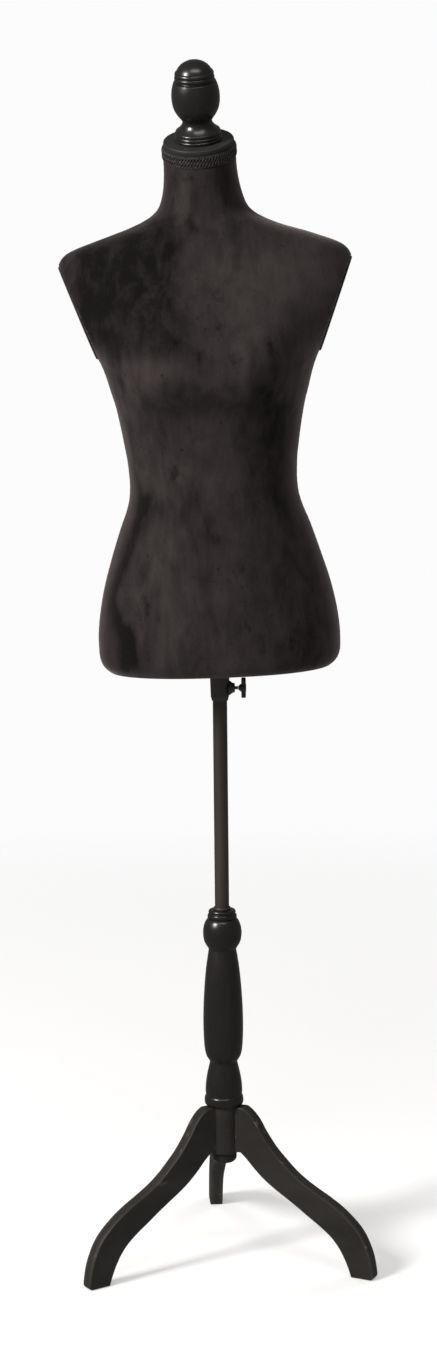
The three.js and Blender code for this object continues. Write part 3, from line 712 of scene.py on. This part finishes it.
def nap_and_painted_shading_of(p, front):
    """How the pile lies, with painted shade under the bust and down the lower right and painted light over the left of
    the waist and hip, -1 dark to 1 light, at points in mm.
    """
    wander = np.array([noise.noise(Vector((q[0] * 0.021, q[1] * 0.021, q[2] * 0.017 + 3))) for q in p])
    ripple = np.array([noise.noise(Vector((q[0] * 0.07, q[1] * 0.07 + 9, q[2] * 0.045))) for q in p])
    x = p[:, 0] + 14 * wander + 5 * ripple
    w = p[:, 2] + 9 * ripple
    if front:
        n = np.full(x.shape, 0.12)
        # pile brushed down over one side of the chest and up over the other, then painted shade under the bust and
        # down the lower right, and painted light over the left of the waist and hip
        n -= 0.95 * ease(-x, 22, 52) * ease(w, 398, 430) * (1 - ease(w, 560, 605)) * (1 - 0.6 * ease(-x, 150, 172))
        n += 0.62 * ease(x, -8, 48) * ease(w, 380, 430) * (1 - ease(w, 520, 575))
        n += 0.45 * blob(x, w, -62, 393, 42, 16) + 0.38 * blob(x, w, -5, 386, 62, 14)
        # a dark band under the bust: painted shade
        n -= 0.65 * blob(x, w, -22, 352, 72, 17)
        # lighter over the left of the waist and hip, the side toward the key lamp: painted light
        n += 0.50 * blob(x, w, -52, 262, 62, 62) + 0.38 * blob(x, w, -64, 105, 58, 74)
        # darker down the right below the bust, the side turned from the key lamp: painted shade
        n -= 0.25 * ease(x, 40, 100) * (1 - ease(w, 330, 400))
        # crushed bands down the left side and by the neck, and a band of painted shade down the right flank
        n -= 0.80 * streak(x, w, [(-122, 420), (-121, 392), (-113, 350), (-104, 318), (-98, 262), (-92, 222)], 7)
        n -= 0.95 * streak(x, w, [(-92, 222), (-104, 186), (-114, 152), (-124, 128), (-134, 98), (-124, 52), (-124, 12)], 10)
        n -= 0.45 * streak(x, w, [(-92, 222), (-66, 214), (-40, 206)], 12)
        # darker band down the right flank, the side turned from the key lamp: painted shade
        n -= 0.50 * streak(x, w, [(72, 345), (84, 290), (78, 225)], 26)
        n -= 0.40 * streak(x, w, [(30, 620), (36, 590), (30, 560)], 20)
        # finger marks
        n -= 0.8 * streak(x, w, [(-12, 412), (-8, 392)], 5)
        n -= 0.7 * streak(x, w, [(38, 548), (44, 520)], 5) + 0.5 * streak(x, w, [(-22, 574), (-12, 566)], 5)
        n -= 0.6 * streak(x, w, [(44, 50), (54, 34)], 5) + 0.6 * streak(x, w, [(-8, 206), (-6, 190), (0, 172)], 5)
        n += 0.30 * blob(x, w, -24, 628, 14, 34) - 0.45 * streak(x, w, [(-44, 585), (-36, 640)], 8)
    else:
        n = np.full(x.shape, 0.1)
        n -= 0.65 * ease(x, 10, 50) * ease(w, 360, 420) * (1 - ease(w, 520, 590))
        n += 0.45 * ease(-x, 0, 50) * ease(w, 380, 440) * (1 - ease(w, 520, 590))
        n -= 0.65 * streak(x, w, [(60, 330), (72, 240), (50, 150), (66, 60)], 12)
        n -= 0.50 * streak(x, w, [(-70, 300), (-60, 200), (-84, 90)], 16)
        n += 0.30 * blob(x, w, 0, 110, 80, 60) - 0.4 * blob(x, w, -10, 560, 40, 30)
        n -= 0.7 * streak(x, w, [(-30, 470), (-22, 440)], 6) + 0.6 * streak(x, w, [(20, 250), (34, 236)], 6)
    n += 0.35 * ripple
    return np.clip(n, -1, 1)


def panel(name, node, front):
    """One panel of the velvet covering, edges turned in at the side seams."""
    near = (np.array([0, 0.5, 1.0, 1.6, 2.4, 3.5, 5, 7, 10, 14, 19]) / 100) ** 1.15
    mid = np.linspace(near[-1], math.pi - near[-1], 88)[1:-1]
    th = np.concatenate([near, mid, math.pi - near[::-1]])
    if front:
        th = th + math.pi
    ws = np.unique(
        np.concatenate([[0, 1, 2, 3, 4.2, 5.6, 7.2, 9, 11.5, 14.5], np.arange(18, 672, 3.0), [672.5, 675]])
    )
    p = torso_points(ws[:, None], th[None, :])
    du = np.gradient(p, axis=1)
    dw = np.gradient(p, axis=0)
    n = np.cross(du, dw)
    n /= np.maximum(np.linalg.norm(n, axis=2), 1e-9)[:, :, None]
    # the seam line: both panels turn in, with small puckers from the stitching
    d = np.minimum(th - th[0], th[-1] - th)
    d = 100 * d ** (1 / 1.15)
    d = np.broadcast_to(d[None, :], p.shape[:2])
    arc = ws[:, None]
    push = -1.5 * np.exp(-((d / 1.15) ** 2))
    pucker = np.sin(arc * 0.78 + 1.3 * np.sin(arc * 0.043)) * (0.6 + 0.4 * np.sin(arc * 0.11))
    push = push + 0.16 * pucker * np.exp(-((d / 6.0) ** 2)) + 0.25 * np.exp(-(((d - 3.4) / 2.0) ** 2))
    # slow unevenness of the stretched cover, and drag lines fanning from the underarm
    flat = p.reshape(-1, 3)
    uneven = np.array(
        [
            noise.noise(Vector((q[0] * 0.011, q[1] * 0.011, q[2] * 0.008)))
            + 0.45 * noise.noise(Vector((q[0] * 0.034 + 7, q[1] * 0.034, q[2] * 0.018)))
            for q in flat
        ]
    ).reshape(p.shape[:2])
    push = push + 0.75 * uneven * np.clip((ws[:, None] - 10) / 30, 0, 1) * np.clip((660 - ws[:, None]) / 40, 0, 1)
    for side in (-1, 1):
        cx, cw = side * 142, 408
        dx, dz = (p[:, :, 0] - cx) * -side, p[:, :, 2] - cw
        rad = np.hypot(dx, dz) + 1e-6
        ang = np.arctan2(dz, dx)
        wave = np.sin(ang * 11 + 0.8 * side) * np.exp(-(((rad - 26) / 22) ** 2))
        push = push + 0.28 * wave
    p = p + n * push[:, :, None]

    # hem: rolled round the lower rim and tucked against the underside board
    first = p[0]
    out = first * np.array([1, 1, 0])
    out /= np.maximum(np.linalg.norm(out, axis=1), 1e-9)[:, None]
    hem = [
        first - out * inset + np.array([0, 0, dz])
        for inset, dz in ((9.2, 3.4), (8.3, 1.4), (6.6, 0.2), (4.2, -0.45), (2.0, -0.6), (0.7, -0.35))
    ]
    # top: turned in under the neck cap
    top = p[-1]
    axis = NECK_UP
    rad = top - NECK_TOP
    rad = rad - (rad @ axis)[:, None] * axis
    rad /= np.linalg.norm(rad, axis=1)[:, None]
    tuck = [top - rad * inset + axis * up for inset, up in ((0.35, 0.18), (1.2, 0.26), (3.2, 0.1))]
    grid = np.concatenate([np.array(hem), p, np.array(tuck)], 0)
    k, m = grid.shape[:2]
    idx = np.arange(k * m).reshape(k, m)
    faces = np.stack([idx[:-1, :-1], idx[:-1, 1:], idx[1:, 1:], idx[1:, :-1]], -1).reshape(-1, 4)

    bm = bmesh.new()
    vs = [bm.verts.new(q) for q in grid.reshape(-1, 3)]
    for f in faces:
        bm.faces.new([vs[i] for i in f])
    bm.verts.ensure_lookup_table()
    rims = []
    for side in (-1, 1):
        at, nn = arm_plane(side)
        at = at - nn * 2.2
        near_faces = [
            f for f in bm.faces if 396 < f.calc_center_median().z < 606 and f.calc_center_median().x * side > 110
        ]
        geom = set(near_faces)
        for f in near_faces:
            geom.update(f.verts)
            geom.update(f.edges)
        res = bmesh.ops.bisect_plane(
            bm, geom=list(geom), dist=1e-4, plane_co=at, plane_no=nn, clear_outer=True, clear_inner=False
        )
        cut = [e for e in res["geom_cut"] if isinstance(e, bmesh.types.BMEdge) and e.is_valid]
        rim = {v for e in cut for v in e.verts}
        rims.append(np.array([v.co[:] for v in rim]))
        centre = np.array([side * 166, -2, 476.0])
        edges = cut
        for inset, deep in ((0.45, 0.5), (0.5, 0.9), (2.2, 1.0)):
            ext = bmesh.ops.extrude_edge_only(bm, edges=edges)
            new = [g for g in ext["geom"] if isinstance(g, bmesh.types.BMVert)]
            edges = [g for g in ext["geom"] if isinstance(g, bmesh.types.BMEdge)]
            for v in new:
                q = np.array(v.co[:])
                inward = centre - q
                inward = inward - (inward @ nn) * nn
                inward /= max(np.linalg.norm(inward), 1e-6)
                v.co = Vector(q + inward * inset - nn * deep)
    bmesh.ops.recalc_face_normals(bm, faces=bm.faces)
    co = np.array([v.co[:] for v in bm.verts])
    for v in bm.verts:
        v.co *= MM
    me = bpy.data.meshes.new(name)
    bm.to_mesh(me)
    bm.free()
    # per vertex, the pile's lie together with the painted shade and painted light
    a = me.attributes.new("nap_and_painted_shading", "FLOAT", "POINT")
    a.data.foreach_set("value", nap_and_painted_shading_of(co, front).astype(np.float32))
    o = place(name, me, VELVET, TORSO, "torso", [node], angle=None)
    return o, rims


def hard_shell(name, node, front):
    """One half of the moulded shell under the covering, as a closed wall."""
    th = np.linspace(0.006, math.pi - 0.006, 72) + (math.pi if front else 0)
    ws = np.unique(np.concatenate([[0.6, 3, 6, 10], np.arange(15, 670, 5.5), [674]]))
    p = torso_points(ws[:, None], th[None, :])
    n = np.cross(np.gradient(p, axis=1), np.gradient(p, axis=0))
    n /= np.maximum(np.linalg.norm(n, axis=2), 1e-9)[:, :, None]
    skins = []
    for inset, deep in ((3.1, 6.4), (6.4, 10.0)):
        q = p - n * inset
        q[0, :, 2] = ws[0]
        for side in (-1, 1):
            at, nn = arm_plane(side)
            d = (q - at) @ nn + deep
            over = (d > 0) & (q[:, :, 2] > 396) & (q[:, :, 0] * side > 90)
            q = np.where(over[:, :, None], q - nn * d[:, :, None], q)
        skins.append(q)
    k, m = p.shape[:2]
    out = np.arange(k * m).reshape(k, m)
    inn = out + k * m

    def quads(a):
        return np.stack([a[:-1, :-1], a[:-1, 1:], a[1:, 1:], a[1:, :-1]], -1).reshape(-1, 4).tolist()

    faces = quads(out) + [f[::-1] for f in quads(inn)]
    loop = [(0, j) for j in range(m)] + [(i, m - 1) for i in range(1, k)]
    loop += [(k - 1, j) for j in range(m - 2, -1, -1)] + [(i, 0) for i in range(k - 2, 0, -1)]
    for (a, b), (c, d) in zip(loop, loop[1:] + loop[:1]):
        faces.append([int(out[c, d]), int(out[a, b]), int(inn[a, b]), int(inn[c, d])])
    verts = np.concatenate([skins[0].reshape(-1, 3), skins[1].reshape(-1, 3)]) * MM
    return make(name, verts, faces, SHELL, TORSO, "torso", [node], "moulded_shell", 40)


front_shell = hard_shell("hard_shell_front", "shell_front", True)
back_shell = hard_shell("hard_shell_back", "shell_back", False)
front_panel, front_rims = panel("velvet_cover_front", "velvet_front", True)
back_panel, back_rims = panel("velvet_cover_back", "velvet_back", False)

# ------------------------------------------------------------------ arm plates
for side, word, k in ((-1, "left", 0), (1, "right", 1)):
    at, nn = arm_plane(side)
    rim = np.concatenate([front_rims[k], back_rims[k]])
    # the seam's groove would dent the outline where it runs under the plate
    rim = rim[np.abs(rim[:, 1] - np.interp(rim[:, 2], FINE, TABLE[:, 4])) > 6.5]
    e1 = np.cross([0, 0, 1.0], nn)
    e1 /= np.linalg.norm(e1)
    e2 = np.cross(nn, e1)
    u, v = (rim - at) @ e1, (rim - at) @ e2
    cu, cv = (u.min() + u.max()) / 2, (v.min() + v.max()) / 2
    ang, rad = np.arctan2(v - cv, u - cu), np.hypot(u - cu, v - cv)
    order = np.argsort(ang)
    N = 120
    grid_a = np.linspace(-math.pi, math.pi, N, endpoint=False)
    r = np.interp(grid_a, ang[order], rad[order], period=2 * math.pi)
    for _ in range(3):
        r = (np.roll(r, 1) + 2 * r + np.roll(r, -1)) / 4
    # the wooden plate under the cloth
    verts = [(at + e1 * cu + e2 * cv - nn * 5.4) * MM]
    for inset, lift in ((6.4, -5.4), (5.5, -5.1), (5.2, -4.5), (5.2, -2.5), (5.5, -1.9), (6.4, -1.6)):
        rr = r - inset
        verts += list(
            (at + e1 * (cu + rr * np.cos(grid_a))[:, None] + e2 * (cv + rr * np.sin(grid_a))[:, None] + nn * lift) * MM
        )
    verts.append((at + e1 * cu + e2 * cv - nn * 1.6) * MM)
    faces = []
    for i in range(N):
        j = (i + 1) % N
        faces.append((0, 1 + j, 1 + i))
        for k2 in range(5):
            a0 = 1 + k2 * N
            faces.append((a0 + i, a0 + j, a0 + N + j, a0 + N + i))
        faces.append((1 + 5 * N + i, 1 + 5 * N + j, len(verts) - 1))
    backing = make(
        "arm_backing_" + word, verts, faces, WOOD, TORSO, "torso", ["arm_board_" + word], "raw_board", 50
    )
    rings = [(1, 1.15, -4.2), (1, 1.05, -1.9), (1, 1.3, -0.9), (1, 2.1, -0.25), (1, 3.6, 0.05), (1, 6.5, 0.2)]
    rings += [(s, 6.5, 0.2 + 0.25 * (1 - s)) for s in (0.85, 0.68, 0.5, 0.32, 0.15)]
    verts = []
    for s, inset, lift in rings:
        rr = (r - inset) * s
        pts = (
            at
            + e1 * (cu + rr * np.cos(grid_a))[:, None]
            + e2 * (cv + rr * np.sin(grid_a))[:, None]
            + nn * lift
        )
        # the covering is drawn over the board's edge in small tucks
        if s == 1 and 1.0 < inset < 5:
            pts = pts + nn * (0.10 * np.sin(grid_a * 34))[:, None]
        verts += list(pts * MM)
    verts.append((at + e1 * cu + e2 * cv + nn * 0.45) * MM)
    faces = []
    for k2 in range(len(rings) - 1):
        for i in range(N):
            j = (i + 1) % N
            faces.append((k2 * N + i, k2 * N + j, (k2 + 1) * N + j, (k2 + 1) * N + i))
    for i in range(N):
        faces.append(((len(rings) - 1) * N + i, (len(rings) - 1) * N + (i + 1) % N, len(verts) - 1))
    napped = [0.12 * math.sin(0.05 * n) for n in range(len(verts))]
    o = make(
        "arm_plate_" + word, verts, faces, VELVET, TORSO, "torso", ["arm_cover_" + word], "velvet", None,
        {"nap_and_painted_shading": napped},
    )

# ------------------------------------------------------------------ neck braid
th = np.linspace(0, 2 * math.pi, 180, endpoint=False)
ws = np.linspace(628, 675, 40)
q = torso_points(ws[:, None], th[None, :])
to_neck = np.array((NECK.inverted() @ TORSO).to_3x3())
shift = np.array((NECK.inverted() @ TORSO).to_translation()) / MM
q = q @ to_neck.T + shift
q_h = q[:, :, 2]
BRAID_H = np.linspace(-16, 0, 33)
table_r = np.zeros((len(BRAID_H), 180))
grid_phi = np.linspace(0, 2 * math.pi, 180, endpoint=False)
for row, h in enumerate(BRAID_H):
    pts = np.array([[np.interp(h, q_h[:, i], q[:, i, c]) for c in (0, 1)] for i in range(180)])
    phi = np.arctan2(pts[:, 1], pts[:, 0]) % (2 * math.pi)
    o_ = np.argsort(phi)
    table_r[row] = np.interp(grid_phi, phi[o_], np.hypot(pts[o_, 0], pts[o_, 1]), period=2 * math.pi)


def neck_radius(phi, h):
    k = np.clip((h - BRAID_H[0]) / (BRAID_H[1] - BRAID_H[0]), 0, len(BRAID_H) - 1.001)
    lo = int(k)
    f = k - lo
    a = np.interp(phi % (2 * math.pi), grid_phi, table_r[lo], period=2 * math.pi)
    b = np.interp(phi % (2 * math.pi), grid_phi, table_r[lo + 1], period=2 * math.pi)
    return max(a * (1 - f) + b * f, 45.6)


def strand(height, out, radius, steps, sides=7):
    """A closed strand round the neck; height and out are functions of the angle, mm."""
    line = []
    for i in range(steps):
        phi = 2 * math.pi * i / steps
        h = height(phi)
        rr = neck_radius(phi, h) + out(phi)
        line.append(np.array([rr * math.cos(phi), rr * math.sin(phi), h]))
    verts, faces = [], []
    for i in range(steps):
        t = line[(i + 1) % steps] - line[i - 1]
        t /= np.linalg.norm(t)
        rad = line[i] * np.array([1, 1, 0])
        rad /= np.linalg.norm(rad)
        b = np.cross(t, rad)
        b /= np.linalg.norm(b)
        rad = np.cross(b, t)
        for k in range(sides):
            a = 2 * math.pi * k / sides
            verts.append((line[i] + radius * (rad * math.cos(a) + b * math.sin(a))) * MM)
    for i in range(steps):
        for k in range(sides):
            a, b = i * sides + k, i * sides + (k + 1) % sides
            c, d = ((i + 1) % steps) * sides + (k + 1) % sides, ((i + 1) % steps) * sides + k
            faces.append((a, b, c, d))
    return verts, faces


parts = []
LOOPS = 38
for h0 in (-4.4, -10.6):
    for k in (0, 1):
        parts.append(
            strand(
                lambda phi, h0=h0, k=k: h0 + 2.35 * math.sin(LOOPS * phi + k * math.pi),
                lambda phi, k=k: 0.75 + 0.42 * math.cos(LOOPS * phi + k * math.pi),
                0.72,
                LOOPS * 14,
                6,
            )
        )
for h0 in (-1.35, -7.5, -13.7):
    parts.append(strand(lambda phi, h0=h0: h0, lambda phi: 0.45 + 0.12 * math.sin(LOOPS * 2 * phi), 0.62, 220, 8))
verts, faces = joined(*parts)
make("neck_gimp", verts, faces, BRAID, NECK, "torso", ["neck_braid"], "braid", None)

# ------------------------------------------------------------------ neck cap and finial
cap = [(0, 0.35), (44.4, 0.35), (44.9, 0.6), (45.2, 1.2), (45.2, 5.2), (45.0, 6.0), (44.5, 6.65), (43.7, 6.95)]
cap += [(42.8, 7.0), (36, 7.02), (0, 7.0)]
verts, faces = revolve(cap, 112)
make("cap_disc", verts, faces, CAP_PAINT, NECK, "torso", ["neck_cap"], "cap_paint", 50)

FINIAL = [
    [(0, 0), (28.8, 0)],
    curve_through([(28.8, 0), (29.7, 0.35), (30.3, 1.4), (30.25, 2.9), (29.6, 3.8), (29.05, 4.15)], 4),
    curve_through([(29.05, 4.15), (29.55, 4.6), (29.8, 5.7), (29.6, 7.0), (29.0, 7.9), (28.35, 8.3)], 4),
    curve_through([(28.35, 8.3), (28.8, 8.8), (29.0, 10.0), (28.7, 11.5), (27.9, 12.5), (27.0, 12.9)], 4),
    curve_through(
        [
            (27.0, 12.9),
            (23.6, 15.8),
            (20.6, 19.4),
            (19.05, 22.8),
            (19.2, 25.6),
            (21.2, 28.9),
            (24.6, 33.5),
            (28.0, 39.8),
            (30.0, 46.8),
            (30.7, 54.2),
            (30.5, 61.5),
            (29.4, 68.2),
            (27.8, 73.6),
            (26.9, 76.0),
        ],
        6,
    ),
    curve_through([(26.9, 76.0), (25.7, 76.7), (24.4, 77.0), (23.7, 77.6), (23.6, 78.2)], 3),
    curve_through([(23.6, 78.2), (24.3, 78.6), (25.3, 79.9), (25.5, 81.6), (25.0, 83.2), (23.9, 84.1)], 4),
    curve_through([(23.9, 84.1), (24.5, 84.7), (24.9, 86.0), (24.6, 87.6), (23.8, 88.8), (22.6, 89.3)], 4),
    curve_through(
        [(22.6, 89.3), (22.3, 90.2), (20.3, 93.6), (16.0, 97.9), (10, 101.2), (4.6, 102.7), (0, 103)],
        6,
        end=(-4.6, 102.6),
    ),
]
profile = []
for seg in FINIAL:
    for q_ in seg:
        if not profile or math.dist(profile[-1], q_) > 1e-4:
            profile.append((max(q_[0], 0), q_[1]))
verts, faces = revolve(profile, 112)
make(
    "turned_finial", verts, faces, LACQUER, NECK @ Matrix.Translation((0, 0, 0.0073)), "torso", ["finial"],
    "gloss_lacquer", 60,
)

# ------------------------------------------------------------------ column
COLUMN = [
    [(0, 213.8), (24.4, 213.8)],
    curve_through(
        [(24.4, 213.8), (25.4, 214.5), (26.1, 216.6), (26.25, 219.5), (25.9, 223.0), (25.2, 225.2), (24.35, 226.3)], 4
    ),
    curve_through(
        [
            (24.35, 226.3),
            (24.45, 228.0),
            (24.8, 232),
            (24.1, 244),
            (22.4, 255),
            (20.4, 264),
            (18.9, 270.6),
            (18.35, 273.4),
        ],
        5,
    ),
    curve_through(
        [
            (18.35, 273.4),
            (19.3, 275.1),
            (22.8, 281),
            (24.9, 289),
            (26.2, 303),
            (26.8, 325),
            (26.5, 345),
            (25.9, 359),
            (24.2, 384),
            (22.2, 404),
            (20.1, 418.5),
            (18.8, 426.6),
            (18.4, 428.7),
        ],
        6,
    ),
    curve_through(
        [
            (18.4, 428.7),
            (19.3, 431.2),
            (22.6, 436.4),
            (24.8, 442),
            (25.8, 449.5),
            (25.5, 457),
            (24.0, 463.5),
            (21.4, 469.0),
            (19.3, 471.2),
            (18.5, 471.7),
        ],
        5,
    ),
    curve_through([(18.5, 471.7), (19.2, 472.2), (19.6, 473.5), (19.5, 475.4), (19.0, 476.8), (18.1, 477.4)], 4),
    curve_through([(18.1, 477.4), (17.5, 478.0), (17.6, 478.6), (18.1, 479.4), (18.1, 481.3), (17.5, 482.6)], 4),
    [(17.5, 482.6), (16.8, 483.0), (11.0, 483.0)],
    [(11.0, 483.0), (11.0, 440)],
]
profile = []
for seg in COLUMN:
    for q_ in seg:
        if not profile or math.dist(profile[-1], q_) > 1e-4:
            profile.append((max(q_[0], 0), q_[1]))
verts, faces = revolve(profile, 112)
make("turned_column", verts, faces, LACQUER, BASE, "stand", ["column"], "gloss_lacquer", 60)

bush = [
    (10.0, 440), (10.6, 440), (10.6, 483.2), (11.3, 483.2), (11.6, 483.6), (11.6, 485.4), (11.3, 486.3), (10.7, 486.9),
    (10.2, 486.9), (10.0, 486.5),
]
verts, faces = revolve(bush, 72, closed=True)
make("pole_bush", verts, faces, PLASTIC, BASE, "stand", ["column_bush"], "black_plastic", 50)

# ------------------------------------------------------------------ pole
pole = [(8.3, 392.6), (9.2, 392.6), (9.5, 392.9), (9.5, 460)]
pole += [(9.5, z) for z in range(480, 1057, 24)]
pole += [(9.5, 1057.4), (9.2, 1057.9), (8.3, 1057.9)]
verts, faces = revolve(pole, 72, closed=True)
make("pole_tube", verts, faces, POLE_STEEL, BASE, "pole", ["pole"], "pole_steel", 50)

# ------------------------------------------------------------------ legs and hub
UPPER = [
    (32, 212.8), (40, 207.8), (51, 195.5), (58.5, 183), (67.5, 170), (77, 158), (89, 146), (101, 134.5), (116, 123),
    (134, 112.3), (154, 101.7), (171.5, 91), (185.5, 80), (198, 68), (206.5, 56), (212.8, 43), (217.4, 30),
    (220.2, 16.5), (221.5, 6.0), (221.2, 3.2), (220.0, 1.2), (217.6, 0.0),
]
LOWER = [
    (190, 0), (184.5, 15), (178, 28.5), (170.5, 40.5), (159.5, 52.5), (144.5, 64), (127.5, 75), (111.5, 85.8),
    (93.5, 97), (76, 107.7), (60.5, 119), (47.5, 131), (36.5, 142.5), (28, 150),
]
outline = [(19.8, 150), (19.8, 212.6), (28.5, 212.8)] + curve_through(UPPER, 3) + curve_through(LOWER, 3)
leg_v, leg_f, leg_w = plate(outline, 8.9, 1.5)
for name, angle in (("leg_rear", 93.7), ("leg_left", 213.7), ("leg_right", 333.7)):
    rub = []
    for (x, y, z), w in zip(leg_v, leg_w):
        toe = max(0.0, min(1.0, (x / MM - 150) / 60)) * 0.3 + 0.7
        rub.append(w * toe)
    make(
        "board_" + name, leg_v, leg_f, LEG_PAINT, BASE @ Matrix.Rotation(angle * DEG, 4, "Z"), "stand", [name],
        "leg_paint", 32, {"edge": rub},
    )
verts, faces = revolve(rounded(22.0, 148, 213.4, 0.9), 80)
make("hub_block", verts, faces, HUB_PAINT, BASE, "stand", ["hub_post"], "leg_paint", 50)
verts, faces = revolve(rounded(18.0, 145.9, 147.8, 0.4, 4.4), 72, closed=True)
make("hub_ring", verts, faces, POLE_STEEL, BASE, "stand", ["hub_washer"], "pole_steel", 50)
knob = curve_through(
    [(0, 131.0), (5, 131.15), (9.5, 131.8), (13.6, 133.6), (15.8, 136.2), (16.5, 139.4), (16.5, 142.4), (15.9, 144.6)],
    4,
    start=(-5, 131.15),
) + [(15.2, 145.5), (4.4, 145.6), (4.4, 138)]
verts, faces = revolve([(max(a, 0), b) for a, b in knob], 72)
make("hub_button", verts, faces, HUB_PAINT, BASE, "stand", ["hub_knob"], "leg_paint", 50)

# ------------------------------------------------------------------ clamp
barrel = [(9.95, 767.3), (10.3, 767.0), (10.7, 767.15), (11.0, 767.6), (11.1, 769.4), (11.6, 770.6), (11.95, 771.3)]
barrel += [(12.05, 772.6), (12.6, 790), (13.3, 811), (13.2, 869.6), (12.8, 870), (10.2, 870), (9.95, 869.6)]
boss = [(0.1, 11.2), (10.5, 11.2), (9.9, 12.6), (9.0, 14.0), (7.9, 15.4), (7.0, 16.3), (6.55, 17.2), (6.45, 18.9)]
boss += [(6.1, 19.6), (5.5, 19.9), (4.1, 19.9), (3.9, 19.7), (3.9, 12.0), (0.1, 12.0)]
lean = Matrix.Translation((0, 0, 0.813)) @ Matrix.Rotation(-1.6 * DEG, 4, "Y")
disc = [(12.0, -2.4), (32.6, -2.4), (33.4, -2.1), (33.9, -1.4), (34.0, -0.5), (34.0, 1.1), (33.7, 1.6), (12.0, 1.7)]
fillet = [(12.6, -9.5), (13.6, -9.0), (14.4, -7.2), (15.8, -4.4), (18.4, -2.7), (22.0, -2.3), (12.6, -2.0)]
collar = joined(
    revolve(barrel, 72, closed=True),
    moved(revolve(boss, 48, closed=True, axis="X"), Matrix.Translation((0, 0, 0.7835))),
    moved(revolve(disc, 84, closed=True), lean),
    moved(revolve(fillet, 72, closed=True), lean),
)
make("clamp_socket", *collar, PLASTIC, BASE, "torso", ["clamp_collar"], "black_plastic", 40)

for i, a in enumerate((45, 135, 225, 315)):
    head = [(0, -4.75), (1.6, -4.7), (2.8, -4.35), (3.6, -3.7), (3.9, -3.1), (3.9, -2.6), (1.9, -2.5), (1.9, 7.0), (0, 8.8)]
    at = (
        BASE
        @ Matrix.Translation((0.0015, 0, 0.813))
        @ Matrix.Rotation(-1.6 * DEG, 4, "Y")
        @ Matrix.Translation((-0.0015 + 0.026 * math.cos(a * DEG), 0.026 * math.sin(a * DEG), 0))
    )
    body_part = revolve(head, 36)
    name = f"flange_fixing_{i + 1}"
    o = make(name, *body_part, ZINC, at, "torso", [f"flange_screw_{i + 1}"], "zinc_steel", 40)

# ------------------------------------------------------------------ wing screw
thread = [(0, 9.9)]
z = 10.0
while z < 24.0:
    thread += [(2.12, z), (2.4, z + 0.25), (2.4, z + 0.4), (2.12, z + 0.65)]
    z += 0.8
thread += [(2.3, 24.2), (0, 24.2)]
verts, faces = revolve(thread, 36, axis="X")
make(
    "screw_shank", verts, faces, ZINC, BASE @ Matrix.Translation((0, 0, 0.7835)), "screw_travel",
    ["wing_screw_shank"], "zinc_steel", 40,
)
cone = curve_through([(2.3, 24.5), (3.0, 25.0), (4.2, 26.4), (5.3, 28.0), (5.8, 30.0), (5.8, 33.2), (5.2, 34.3)], 4)
cone = [(0, 24.5)] + cone + [(4.4, 34.8), (0, 34.8)]
bar = []
for k in range(33):
    t = math.pi * k / 32
    bar.append((4.4 * math.cos(t), 9.3 + 4.4 * math.sin(t)))
for k in range(33):
    t = math.pi + math.pi * k / 32
    bar.append((4.4 * math.cos(t), -9.3 + 4.4 * math.sin(t)))
bv, bf, _ = plate(bar, 3.0, 1.5, 5, 0.4)
turn = Matrix(((0, 1, 0, 0.0314), (1, 0, 0, 0), (0, 0, 1, 0), (0, 0, 0, 1)))
head = joined(revolve(cone, 56, axis="X"), moved((bv, bf), turn))
make(
    "screw_wing", *head, PLASTIC, BASE @ Matrix.Translation((0, 0, 0.7835)), "screw_head", ["wing_screw_head"],
    "black_plastic", 40,
)

# ------------------------------------------------------------------ carried-over CAD nodes
CARRIED = {
    "tie_rod": ZINC,
    "column_insert": BRASS,
    "pole_plug": PLASTIC,
    "base_board": BOARD_PAINT,
    "neck_block": WOOD,
    "cap_screw_left": ZINC,
    "cap_screw_right": ZINC,
    "finial_bolt": ZINC,
    "clamp_insert": BRASS,
}
for name, material in CARRIED.items():
    o = NODES[name]
    o.data.materials.clear()
    o.data.materials.append(material)
